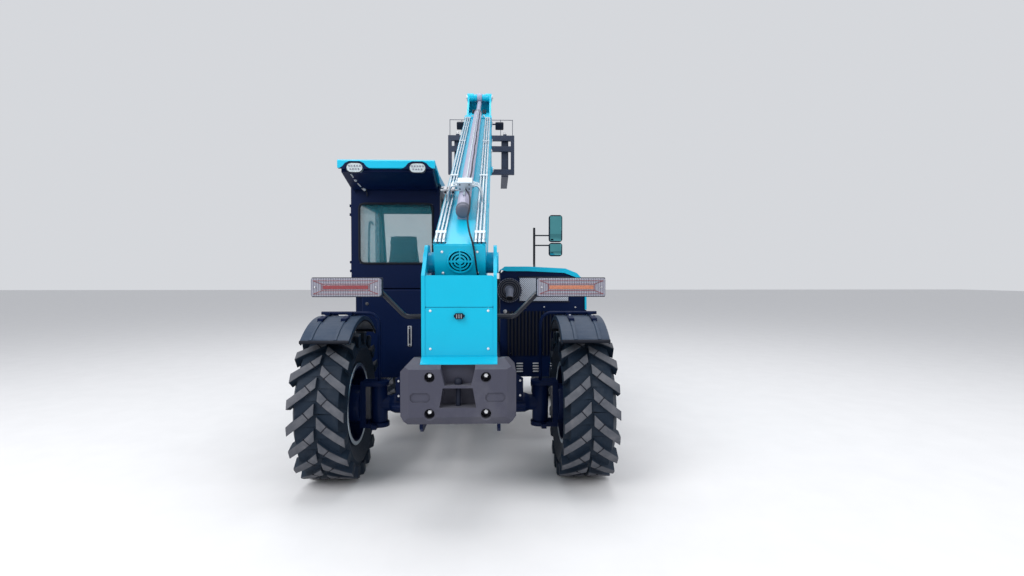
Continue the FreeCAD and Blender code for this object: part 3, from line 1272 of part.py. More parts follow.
def make_bay():
    back, front = REAR + D.bay_back, REAR + D.bay_front
    inner, outer, wall = D.bay_inner, D.bay_outer, D.bay_wall
    foot, seam = D.bay_foot, D.bay_seam
    middle_x, gap = (back + front) / 2, D.lid_gap
    tray = new_body("tray_body")
    pad(tray, "YZ_Plane", middle_x, front - back,
        [[(outer + 60, foot), (inner, foot), (inner, seam - gap), (outer, seam - gap),
          (outer, foot + 90)]])
    pocket(tray, "YZ_Plane", middle_x, front - back - wall * 2,
           [[(outer + 60 + wall, foot + wall), (inner - wall, foot + wall),
             (inner - wall, seam + 10), (outer + wall, seam + 10),
             (outer + wall, foot + 90 + wall)]])
    inside = D.lid_wall + gap
    ends = [tray, block("tray_inner_wall", (back, front), (inner - wall, inner),
                        (seam - gap, D.bay_top - D.hinge_drop - D.hinge_radius - gap))]
    arch = bay_arch(inside)
    low = [(outer + inside, seam - gap), (inner - wall, seam - gap)]
    for name, x in (("rear", back + wall / 2), ("front", front - wall / 2)):
        panel = new_body("bay_panel_" + name)
        pad(panel, "YZ_Plane", x, wall,
            [[(inner - wall, D.bay_top - D.hinge_drop - gap * 2)] + arch[1:-1] + low])
        ends.append(panel)
    hinge_z = D.bay_top - D.hinge_drop
    for number, x in enumerate((back + 100 - 0.5, back + 210 + 0.5, front - 230 - 0.5,
                                front - 120 + 0.5)):
        ends.append(bar("tray_hinge_%d" % number, (x, inner, hinge_z), "x", 20,
                        D.hinge_radius))
        ends.append(block("tray_leaf_%d" % number, (x, x + 20),
                          (inner - D.hinge_radius, inner),
                          (hinge_z - D.hinge_radius - gap - 5, hinge_z)))
    node(joined("engine_tray", ends), "engine_tray")
    lid = new_body("lid_body")
    pad(lid, "YZ_Plane", middle_x, front - back, [bay_arch(0) + bay_arch(D.lid_wall)[::-1]])
    brow = new_body("lid_brow")
    pad(brow, "YZ_Plane", back - (D.lid_lap - D.lid_wall / 2), D.lid_wall,
        [bay_arch(0) + bay_arch(D.lid_cheek, D.lid_brow)[::-1]])
    lap = new_body("lid_lap")
    pad(lap, "YZ_Plane", back - D.lid_lap / 2, D.lid_lap,
        [bay_arch(0) + bay_arch(D.lid_wall)[::-1]])
    hinges = [lid, brow, lap]
    reach = D.hinge_radius + gap
    for number, x in enumerate((back + 120, front - 210)):
        hinges.append(bar("lid_hinge_%d" % number, (x, inner, hinge_z), "x", 90,
                          D.hinge_radius))
        hinges.append(block("lid_leaf_%d" % number, (x, x + 90), (inner - D.lid_wall, inner),
                            (hinge_z, hinge_z + reach + 8)))
    node(joined("hood_lid", hinges), "hood_lid")
    middle = (inner + outer) / 2
    engine = [block("engine_crankcase", (back + 260, front - 300), (middle - 190, middle + 190),
                    (foot + wall, 1180)),
              block("engine_head", (back + 300, front - 340), (middle - 120, middle + 120),
                    (1180, 1420)),
              bar("engine_filter", (back + 330, middle - 195, 1290), "x", 420, 75),
              block("engine_radiator", (front - 170, front - 60), (outer + 150, inner - 100),
                    (foot + wall, 1480))]
    node(joined("engine", engine), "engine")
    y, z = D.muffler_y, D.muffler_z
    drum = bar("muffler_drum", (back - 34, y, z), "x", 34, D.muffler_radius)
    stub = bar("muffler_stub", (0, 0, 0), "z", D.stub_length, D.stub_radius)
    place(stub, back - D.stub_radius * 0.8, y, z, turn=225, axis=(0, 1, 0))
    node(joined("exhaust_outlet", [drum, stub]), "exhaust_outlet")
    link = [block("bay_bracket_%d" % number, (x, x + 80),
                  (inner, MID - D.frame_half), (foot + 90, foot + 200))
            for number, x in enumerate((back + 150, front - 300))]
    return link


def make_underside(brackets):
    """Tank, cab brackets, step, gearbox and drive shafts."""
    tank = new_body("tank_body")
    back = REAR + D.tank_wall_x
    front = REAR + D.cab_low_back - 0.3
    pad(tank, "XZ_Plane", (D.tank_right + D.tank_left) / 2, D.tank_left - D.tank_right,
        [[(back, D.tank_foot), (front, D.tank_foot), (front, D.cab_knee - 6),
          (REAR + D.cab_back - 0.3, D.tank_top - 8), (back, D.tank_top - 8)]])
    node(tank, "hydraulic_tank")
    low = REAR + D.cab_low_back
    base = [block("cab_mount_rear", (low + 40, low + 160),
                  (MID + D.frame_half, D.cab_left - 200), (D.cab_foot - 100, D.cab_foot)),
            block("cab_mount_front", (REAR + D.cab_front - 200, REAR + D.cab_front - 80),
                  (MID + D.frame_half, D.cab_left - 200), (D.cab_foot - 100, D.cab_foot)),
            block("step_tread", (low + 160, REAR + D.cab_front - 200),
                  (D.cab_left - 180, D.cab_left + 30), (440, 480)),
            block("step_leg_rear", (low + 160, low + 200), (D.cab_left - 180, D.cab_left - 150),
                  (480, D.cab_foot - 50)),
            block("step_leg_front", (REAR + D.cab_front - 240, REAR + D.cab_front - 200),
                  (D.cab_left - 180, D.cab_left - 150), (480, D.cab_foot - 50)),
            block("step_rail", (low + 160, REAR + D.cab_front - 200),
                  (D.cab_left - 200, D.cab_left - 150), (D.cab_foot - 100, D.cab_foot - 50))]
    node(joined("outriggers", base + brackets), "outriggers")
    bulge = D.axle_bulge_radius
    gear = [block("gearbox_case", (REAR + 1340, REAR + 1680), (MID - 150, MID + 150),
                  (D.frame_belly, D.frame_top - 200)),
            bar("shaft_rear", (REAR + bulge + 0.3, 0, AXLE_Z), "x", 1340 - bulge - 0.3, 34),
            bar("shaft_front", (REAR + 1680, 0, AXLE_Z), "x",
                D.wheelbase - 1680 - bulge - 0.3, 34)]
    node(joined("drive_line", gear), "drive_line")


def make_lamps():
    outer = D.frame_half - D.frame_wall
    x = REAR - D.lamp_setback
    tubes = []
    lamps = []
    for side, sign in (("left", 1), ("right", -1)):
        middle = MID + D.lamp_y * sign
        low, high = middle - D.lamp_long / 2, middle + D.lamp_long / 2
        lamps.append(block("lamp_body_" + side, (x, x + D.lamp_deep), (low, high),
                           (D.lamp_z - D.lamp_high / 2, D.lamp_z + D.lamp_high / 2)))
        inner = D.lamp_y - D.lamp_long / 2
        y0 = MID + outer * sign
        y1 = MID + (inner - 150) * sign
        y2 = MID + (inner + 25) * sign
        depth = x + D.lamp_deep + D.lamp_tube
        tubes.append(feature("lamp_tube_" + side, route(
            [(depth, y0, 1350), (depth, y1, 1350), (depth, y2, D.lamp_z - 20)],
            D.lamp_tube, 60)))
    node(joined("tail_lamps", lamps), "tail_lamps")
    node(joined("lamp_arms", tubes), "lamp_arms")


def make_mirror():
    x, y, post = REAR + D.mirror_x - 22, D.mirror_y, D.mirror_post_y
    r = D.mirror_post_radius
    front = REAR + D.bay_front
    arms = feature("mirror_tubes", route(
        [(front, post, 1500), (front + 60, post, 1500), (x, post, 1780), (x, post, 2240)],
        r, 55))
    start = y + D.mirror_half
    cross = [slim("mirror_arm_%d" % number, (x, start, z), "y", post - start, 9)
             for number, z in enumerate((2018, 2143))]
    node(joined("mirror_arm", [arms] + cross), "mirror_arm")
    half = D.mirror_half
    shells = []
    for name, low, high in (("large", 2060, 2400), ("small", 1880, 2050)):
        shell = new_body("mirror_shell_" + name)
        pad(shell, "YZ_Plane", x, D.mirror_deep,
            [[(y - half, low), (y + half, low), (y + half, high), (y - half, high)]])
        fillet(shell, D.mirror_round, along("x"))
        shells.append(shell)
    node(joined("mirror_head", shells), "mirror_head")


make_wheels()
make_axle("rear_axle", REAR, -1)
make_axle("front_axle", FRONT, 1)
make_frame()
make_tower()
make_cover()
make_counterweight()
make_outer_boom()
make_tail_plate()
make_inner_boom()
make_head()
make_cylinders()
make_pipes(make_ram())
make_carriage()
make_forks()
make_cab()
make_door()
make_cab_glass()
make_roof()
make_controls(make_seat())
make_underside(make_bay())
make_lamps()
make_mirror()
doc.recompute()

faults = []
for item in doc.Objects:
    if "Invalid" in item.State or "Error" in item.State:
        faults.append("%s is %s" % (item.Label, item.State))
for label, item in nodes.items():
    if item.Shape.isNull() or not item.Shape.isValid():
        faults.append("%s has no valid shape" % label)
if faults:
    raise ValueError("; ".join(faults))

os.makedirs("parts", exist_ok=True)
for label, item in nodes.items():
    item.Shape.exportStep("parts/%s.step" % label)
box = FreeCAD.BoundBox()
for item in nodes.values():
    box.add(item.Shape.BoundBox)
print("%d pieces, x %.0f to %.0f, y %.0f to %.0f, z %.0f to %.0f" % (
    len(nodes), box.XMin, box.XMax, box.YMin, box.YMax, box.ZMin, box.ZMax))
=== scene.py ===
import json
import math

import bmesh
import bpy
from mathutils import Matrix, Quaternion, Vector


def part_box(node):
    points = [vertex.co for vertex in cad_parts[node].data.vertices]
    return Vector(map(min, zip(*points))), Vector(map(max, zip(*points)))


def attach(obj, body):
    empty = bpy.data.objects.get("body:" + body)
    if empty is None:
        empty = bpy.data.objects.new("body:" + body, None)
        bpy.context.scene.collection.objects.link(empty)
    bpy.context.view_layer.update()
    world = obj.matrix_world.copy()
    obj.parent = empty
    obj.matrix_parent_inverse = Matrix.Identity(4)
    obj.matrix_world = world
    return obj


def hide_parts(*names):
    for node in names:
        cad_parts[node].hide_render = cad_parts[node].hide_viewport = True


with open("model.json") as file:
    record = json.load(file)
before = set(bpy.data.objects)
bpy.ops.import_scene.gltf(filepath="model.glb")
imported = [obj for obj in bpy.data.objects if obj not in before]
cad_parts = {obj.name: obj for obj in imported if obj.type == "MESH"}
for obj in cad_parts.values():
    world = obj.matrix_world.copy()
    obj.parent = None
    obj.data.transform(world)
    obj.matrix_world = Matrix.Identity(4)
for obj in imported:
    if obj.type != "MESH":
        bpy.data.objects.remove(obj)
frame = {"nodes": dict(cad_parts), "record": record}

bl_info = {
    "name": "Telehandler",
    "version": (1, 0, 0),
    "blender": (4, 5, 0),
    "location": "3D View > Sidebar > Telehandler",
    "description": "Dresses a telescopic handler with finishes and fittings",
    "category": "Object",
}

NODES = frame["nodes"]
SIDES = (1, -1)
BACKWARD = (-1, 0, 0)
UPWARD = (0, 0, 1)


def low(node):
    return Vector(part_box(node)[0])


def high(node):
    return Vector(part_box(node)[1])


def centre(node):
    return (low(node) + high(node)) / 2


# The driving places, read from the frame.
REAR_HUB = centre("tyre_rear_left")
FRONT_HUB = centre("tyre_front_left")
TYRE_RADIUS = (high("tyre_rear_left") - low("tyre_rear_left")).z / 2
JOINTS = {joint["name"]: joint for joint in frame["record"]["behaviour"]["joints"]}
PIVOT = Vector(JOINTS["boom_lift"]["pos_m"])
BOOM_AXIS = Vector(JOINTS["boom_extend"]["axis"])
BOOM_TURN = math.atan2(BOOM_AXIS.z, BOOM_AXIS.x)
BOOM = Matrix.Translation(PIVOT) @ Matrix.Rotation(-BOOM_TURN, 4, "Y")
CARRIAGE = Matrix.Translation(JOINTS["carriage_tilt"]["pos_m"])
MID = PIVOT.y


class TelehandlerColours(bpy.types.PropertyGroup):
    """Colours of the machine's main finishes."""

    paint: bpy.props.FloatVectorProperty(
        name="Paint", description="Colour of the boom, tower, roof and hood",
        subtype="COLOR", size=3, default=(0.0, 0.40, 0.59))
    frame_black: bpy.props.FloatVectorProperty(
        name="Frame black", description="Colour of the cab, axles and panels",
        subtype="COLOR", size=3, default=(0.001, 0.007, 0.037))
    casting: bpy.props.FloatVectorProperty(
        name="Casting", description="Colour of the counterweight",
        subtype="COLOR", size=3, default=(0.040, 0.041, 0.066))
    dust: bpy.props.FloatVectorProperty(
        name="Dust", description="Colour of dry dust on treads and ledges",
        subtype="COLOR", size=3, default=(0.17, 0.17, 0.185))


class TelehandlerSizes(bpy.types.PropertyGroup):
    """Sizes of the fittings that a user may change."""

    screw: bpy.props.FloatProperty(
        name="Screw", description="Radius of a cover screw's head",
        unit="LENGTH", default=0.006)
    nut: bpy.props.FloatProperty(
        name="Wheel nut", description="Radius of a wheel nut",
        unit="LENGTH", default=0.017)
    hose: bpy.props.FloatProperty(
        name="Hose", description="Radius of a hydraulic hose",
        unit="LENGTH", default=0.011)
    edge: bpy.props.FloatProperty(
        name="Plate edge", description="Rounding of cut plate edges",
        unit="LENGTH", default=0.003)


def colours():
    return bpy.context.scene.telehandler_colours


def sizes():
    return bpy.context.scene.telehandler_sizes


class Tap:
    """One output of a material node; arithmetic on it adds Math nodes."""

    def __init__(self, finish, socket):
        self.finish = finish
        self.socket = socket

    def worked(self, operation, *values, clamp=False):
        settings = {"operation": operation, "use_clamp": clamp}
        return self.finish.add("ShaderNodeMath", settings, dict(enumerate(values)))

    def __add__(self, other):
        return self.worked("ADD", self, other)

    def __radd__(self, other):
        return self.worked("ADD", other, self)

    def __sub__(self, other):
        return self.worked("SUBTRACT", self, other)

    def __rsub__(self, other):
        return self.worked("SUBTRACT", other, self)

    def __mul__(self, other):
        return self.worked("MULTIPLY", self, other)

    def __rmul__(self, other):
        return self.worked("MULTIPLY", other, self)

    def __truediv__(self, other):
        return self.worked("DIVIDE", self, other)

    def __pow__(self, other):
        return self.worked("POWER", self, other)

    def least(self, other):
        return self.worked("MINIMUM", self, other)

    def most(self, other):
        return self.worked("MAXIMUM", self, other)

    def waves(self, pitch):
        """A sine along the value, one wave to each pitch."""
        return self.worked("SINE", self * (2 * math.pi / pitch))

    def clamped(self):
        return self.worked("ADD", self, 0.0, clamp=True)

    def above(self, edge, width):
        """0 under edge, 1 from edge + width, straight between."""
        return ((self - edge) / width).clamped()


class Finish:
    """A procedural material round one Principled shader."""

    def __init__(self, name):
        self.material = bpy.data.materials.new(name)
        self.material.use_nodes = True
        self.tree = self.material.node_tree
        self.tree.nodes.clear()
        self.shader = self.tree.nodes.new("ShaderNodeBsdfPrincipled")
        out = self.tree.nodes.new("ShaderNodeOutputMaterial")
        self.tree.links.new(self.shader.outputs[0], out.inputs[0])

    def connect(self, socket, value):
        if isinstance(value, Tap):
            self.tree.links.new(value.socket, socket)
        elif isinstance(value, (tuple, list)) and len(value) == 3 and socket.type == "RGBA":
            socket.default_value = (*value, 1.0)
        else:
            socket.default_value = value

    def add(self, kind, settings, values, out=0):
        """A node of any kind, its settings made before its sockets' values and links."""
        node = self.tree.nodes.new(kind)
        for key, value in settings.items():
            setattr(node, key, value)
        for key, value in values.items():
            self.connect(node.inputs[key], value)
        return Tap(self, node.outputs[out])

    def spot(self):
        """The point of the surface in the machine's own coordinates."""
        return self.add("ShaderNodeTexCoord", {}, {}, "Object")

    def part(self, vector, letter):
        return self.add("ShaderNodeSeparateXYZ", {}, {0: vector}, letter)

    def stretched(self, scale):
        return self.add("ShaderNodeVectorMath", {"operation": "MULTIPLY"},
                        {0: self.spot(), 1: scale})

    def noise(self, scale, detail=3.0, rough=0.55, vector=None):
        return self.add("ShaderNodeTexNoise", {}, {
            "Vector": vector or self.spot(), "Scale": scale, "Detail": detail,
            "Roughness": rough})

    def cells(self, scale, **settings):
        return self.add("ShaderNodeTexVoronoi", settings, {"Vector": self.spot(), "Scale": scale})

    def facing_up(self):
        normal = self.add("ShaderNodeNewGeometry", {}, {}, "Normal")
        return self.part(normal, "Z").most(0.0)

    def mixed(self, factor, first, second):
        return self.add("ShaderNodeMix", {"data_type": "RGBA"},
                        {0: factor, 6: first, 7: second}, 2)

    def dusted(self, mask, colour):
        return self.mixed(mask, colour, tuple(colours().dust))

    def bump(self, height, strength, distance=0.001):
        return self.add("ShaderNodeBump", {}, {
            "Height": height, "Strength": strength, "Distance": distance})

    def wear(self, **values):
        """Set the shader's sockets by their names with spaces as underlines."""
        for key, value in values.items():
            self.connect(self.shader.inputs[key.replace("_", " ")], value)
        return self.material


def shade(colour, factor):
    return tuple(value * factor for value in colour)


def painted(item, colour, roughness, dusty, coat, shine):
    """Sprayed paint with a slight orange peel and dust on its ledges."""
    if isinstance(colour, str):
        colour = getattr(colours(), colour)
    cloud = item.noise(1.7, 4.0)
    speck = item.noise(38.0, 6.0, 0.7)
    dust = (item.facing_up() ** 2.0 * 0.65 + 0.25) * dusty
    mask = ((cloud * 0.6 + speck * 0.7 - 0.45) * 2.2 * dust).clamped()
    tone = item.mixed((cloud - 0.3).clamped(), shade(colour, 1.1), shade(colour, 0.82))
    return item.wear(Base_Color=item.dusted(mask, tone),
                     Roughness=(mask * 0.5 + roughness + speck * 0.08).clamped(),
                     Coat_Weight=coat, Coat_Roughness=0.12, Specular_IOR_Level=shine,
                     Normal=item.bump(item.noise(420.0, 2.0), 0.06))


def cast_weight(item):
    """A rough casting with dust on its ledges."""
    colour = tuple(colours().casting)
    cloud = item.noise(3.0, 5.0, 0.6)
    grain = item.noise(140.0, 5.0, 0.7)
    ledge = item.facing_up() ** 3.0 * 0.5
    mask = (ledge + (cloud - 0.52) * 1.6).clamped()
    tone = item.mixed(grain, shade(colour, 0.75), shade(colour, 1.25))
    return item.wear(Base_Color=item.dusted(mask * 0.55, tone),
                     Roughness=(grain * 0.25 + 0.55).clamped(),
                     Normal=item.bump(grain + cloud * 0.6, 0.55, 0.002))


def tyre_rubber(item):
    """Black rubber with worn, dusty bars and ringed side walls."""
    spot = item.spot()
    along = item.part(spot, "X")
    up = item.part(spot, "Z") - REAR_HUB.z
    reach = [((along - hub.x) ** 2.0 + up ** 2.0) ** 0.5 for hub in (REAR_HUB, FRONT_HUB)]
    radius = reach[0].least(reach[1])
    cloud = item.noise(9.0, 5.0, 0.65)
    grit = item.noise(160.0, 4.0, 0.7)
    tops = radius.above(TYRE_RADIUS - 0.012, 0.009)
    dusty = (tops * (cloud * 1.1 + 0.1) + (cloud - 0.5).most(0.0) * 0.5).clamped()
    rings = radius.waves(0.011).above(0.55, 0.3)
    ends = [radius.above(TYRE_RADIUS * share, 0.004) for share in (0.66, 0.78)]
    wall = ends[0] * (1.0 - ends[1])
    grain = item.mixed(grit, (0.004, 0.010, 0.022), (0.010, 0.022, 0.040))
    return item.wear(Base_Color=item.dusted(dusty * 0.8, grain), Specular_IOR_Level=0.2,
                     Roughness=(dusty * 0.3 + 0.55 + grit * 0.1).clamped(),
                     Normal=item.bump(grit * 0.3 + rings * wall, 0.6, 0.0022))


def grained(item, colour, scale, roughness, dusty):
    """Plastic, rubber or rough iron with a fine grain."""
    cloud = item.noise(4.0, 4.0)
    grain = item.noise(scale, 2.0)
    mask = ((item.facing_up() * 0.7 + 0.3) * (cloud - 0.38) * 2.0 * dusty).clamped()
    return item.wear(Base_Color=item.dusted(mask, colour), Specular_IOR_Level=0.22,
                     Roughness=(roughness + mask * 0.3 + grain * 0.08).clamped(),
                     Normal=item.bump(grain, 0.22, 0.0012))


def metal(item, colour, roughness, scratch, grime):
    """Bare metal with fine lines and dark stains."""
    fine = item.noise(60.0, 4.0, 0.7, item.stretched((1.0, 1.0, 14.0)))
    cloud = item.noise(5.0, 4.0)
    mask = ((cloud - 0.55) * 2.5 * grime).clamped()
    return item.wear(Base_Color=item.mixed(mask, colour, shade(colour, 0.35)), Metallic=1.0,
                     Roughness=(fine * 0.18 + roughness + mask * 0.3).clamped(),
                     Normal=item.bump(fine, scratch, 0.0006))


def clear_glass(item):
    """Glazing with a teal tint, partly its own and partly painted reflection, more opaque at a
    glancing angle.
    """
    # The teal tint and its lighter patches are partly painted reflection; the opacity that rises
    # at a glancing angle paints the stronger reflection there.
    tint = (0.03, 0.27, 0.34)
    slope = item.add("ShaderNodeLayerWeight", {}, {"Blend": 0.35}, "Facing")
    tint_patches = item.noise(6.0, 5.0, 0.6)
    return item.wear(Base_Color=item.mixed(tint_patches, tint, shade(tint, 1.2)),
                     Roughness=(tint_patches * 0.06 + 0.02).clamped(),
                     Alpha=(slope * 0.35 + 0.16 + tint_patches * 0.05).clamped())


def lamp_lens(item):
    """A clear lens with upright flutes, whose light and dark bands are painted reflection."""
    spot = item.spot()
    flutes = item.part(spot, "Y").waves(0.016)
    cross = item.part(spot, "Z").waves(0.03)
    # Light and dark bands along the flutes: painted reflection in the clear lens.
    tone = item.mixed((flutes * 0.25 + 0.5).clamped(), (0.10, 0.10, 0.14), (0.36, 0.36, 0.42))
    return item.wear(Base_Color=tone, Roughness=0.12,
                     Normal=item.bump(flutes + cross * 0.3, 0.7, 0.002))


def lit(item, colour, glow):
    """A small lens of many cells that glows a little."""
    cells = item.cells(140.0)
    return item.wear(Base_Color=item.mixed(cells, colour, shade(colour, 0.6)), Roughness=0.12,
                     Emission_Color=colour, Emission_Strength=glow,
                     Normal=item.bump(cells, 0.5, 0.002))


def mirror_face(item):
    # The teal colour and its lighter patches are a painted reflection of the surroundings.
    tint_patches = item.noise(7.0, 4.0)
    return item.wear(Base_Color=item.mixed(tint_patches, (0.08, 0.30, 0.33), (0.12, 0.38, 0.41)),
                     Metallic=1.0, Roughness=(tint_patches * 0.05).clamped())


def weave(item, colour, pitch):
    """Cloth woven at a pitch."""
    spot = item.spot()
    x, y, z = [item.part(spot, letter).waves(pitch) for letter in "XYZ"]
    cloth = x * y + y * z + x * z
    cloud = item.noise(11.0, 5.0)
    tone = item.mixed((cloud * 0.8 + cloth * 0.1).clamped(), shade(colour, 0.65),
                      shade(colour, 1.4))
    return item.wear(Base_Color=tone, Roughness=0.88, Sheen_Weight=0.35, Sheen_Roughness=0.5,
                     Normal=item.bump(cloth, 0.4, 0.0006))


def seat_leather(item):
    cells = item.cells(420.0, feature="DISTANCE_TO_EDGE")
    cloud = item.noise(8.0, 4.0)
    return item.wear(Base_Color=item.mixed(cloud, (0.02, 0.02, 0.024), (0.05, 0.05, 0.055)),
                     Roughness=(cloud * 0.2 + 0.42).clamped(),
                     Normal=item.bump(cells.least(0.12), 0.35, 0.0015))


def mesh_panel(item):
    """Bright sheet with rows of small round holes, painted dark for the shade seen through them.
    """
    spot = item.spot()
    across, up = [item.part(spot, letter).waves(0.02) for letter in "YZ"]
    holes = (across * up).above(0.25, 0.2)
    # The holes are painted dark: painted shade behind the sheet.
    return item.wear(Base_Color=item.mixed(holes, (0.50, 0.53, 0.60), (0.03, 0.03, 0.05)),
                     Roughness=(holes * 0.3 + 0.4).clamped(),
                     Normal=item.bump(1.0 - holes, 0.5, 0.002))


# Paints: colour, or the property that holds it, then roughness, dust, coat and shine.
PAINTS = {
    "cyan_paint": ("paint", 0.3, 0.06, 0.16, 0.2),
    "black_paint": ("frame_black", 0.4, 0.03, 0.03, 0.08),
    "gloss_black": ((0.003, 0.005, 0.012), 0.28, 0.03, 0.2, 0.3),
    "barrel_paint": ((0.30, 0.30, 0.41), 0.34, 0.2, 0.1, 0.3),
    "white_paint": ((0.74, 0.75, 0.77), 0.35, 0.15, 0.2, 0.3),
    "silver_paint": ((0.42, 0.43, 0.46), 0.4, 0.3, 0.1, 0.3),
    "pipe_grey": ((0.10, 0.11, 0.15), 0.5, 0.3, 0.0, 0.3),
    # Fork steel: its own dark colour, tinted blue as painted haze light over the far carriage.
    "fork_steel": ((0.028, 0.038, 0.068), 0.42, 0.25, 0.06, 0.2),
}
# Plastics, rubbers and rough iron: colour, scale of the grain, roughness and dust.
GRAINS = {
    "black_plastic": ((0.006, 0.009, 0.022), 700.0, 0.55, 0.1),
    "guard_plastic": ((0.028, 0.046, 0.080), 500.0, 0.42, 0.24),
    "soft_rubber": ((0.003, 0.005, 0.012), 900.0, 0.62, 0.12),
    "hose_rubber": ((0.004, 0.006, 0.016), 1200.0, 0.45, 0.03),
    "pad_plastic": ((0.62, 0.55, 0.33), 600.0, 0.45, 0.3),
    "engine_iron": ((0.12, 0.125, 0.13), 200.0, 0.6, 0.5),
}
# Bare metals: colour, roughness, scratches and grime.
METALS = {
    "rod_chrome": ((0.78, 0.78, 0.82), 0.06, 0.03, 0.12),
    "pipe_zinc": ((0.50, 0.58, 0.64), 0.28, 0.08, 0.3),
    "bolt_steel": ((0.52, 0.52, 0.54), 0.26, 0.1, 0.4),
    "dark_steel": ((0.10, 0.10, 0.11), 0.42, 0.2, 0.4),
}
# Small lenses: colour and glow.
LENSES = {
    "red_lens": ((0.27, 0.055, 0.065), 0.01),
    "amber_lens": ((0.52, 0.20, 0.12), 0.02),
    "white_lens": ((0.58, 0.66, 0.69), 0.02),
}
# Cloths: colour and pitch of the threads.
CLOTHS = {
    "seat_fabric": ((0.030, 0.052, 0.075), 0.0022),
    "webbing": ((0.03, 0.03, 0.035), 0.0035),
}
MAKERS = {name: (maker, *row)
          for maker, rows in ((painted, PAINTS), (grained, GRAINS), (metal, METALS),
                              (lit, LENSES), (weave, CLOTHS))
          for name, row in rows.items()}
MAKERS.update({maker.__name__: (maker,) for maker in (
    cast_weight, tyre_rubber, clear_glass, lamp_lens, mirror_face, seat_leather, mesh_panel)})
FINISHES = {}


def material_of(name):
    """The material of a finish, made once."""
    if name not in FINISHES:
        maker, *row = MAKERS[name]
        FINISHES[name] = maker(Finish(name), *row)
    return FINISHES[name]


def turns(count, shift=0.0):
    """Angles spread evenly round a circle."""
    return [2 * math.pi * (number + shift) / count for number in range(count)]


def circle(radius, count, height=0.0):
    """Points round the Z axis."""
    return [Vector((radius * math.cos(turn), radius * math.sin(turn), height))
            for turn in turns(count)]


def arm(turn):
    """A vector of length 1 across Y, turned up from +X."""
    return Vector((math.cos(turn), 0, math.sin(turn)))


def about_y(degrees):
    return Quaternion((0, 1, 0), math.radians(degrees))


def pairs(firsts, seconds):
    return [(first, second) for first in firsts for second in seconds]


def flowing(points, steps):
    """Points along a smooth line through the given ones."""
    if len(points) < 3 or steps < 2:
        return points
    padded = [points[0] * 2 - points[1]] + points + [points[-1] * 2 - points[-2]]
    line = []
    for number in range(1, len(padded) - 2):
        a, b, c, d = padded[number - 1:number + 3]
        for step in range(steps):
            t = step / steps
            line.append(0.5 * ((2 * b) + (c - a) * t + (2 * a - 5 * b + 4 * c - d) * t ** 2
                               + (3 * b - a - 3 * c + d) * t ** 3))
    line.append(points[-1])
    return line


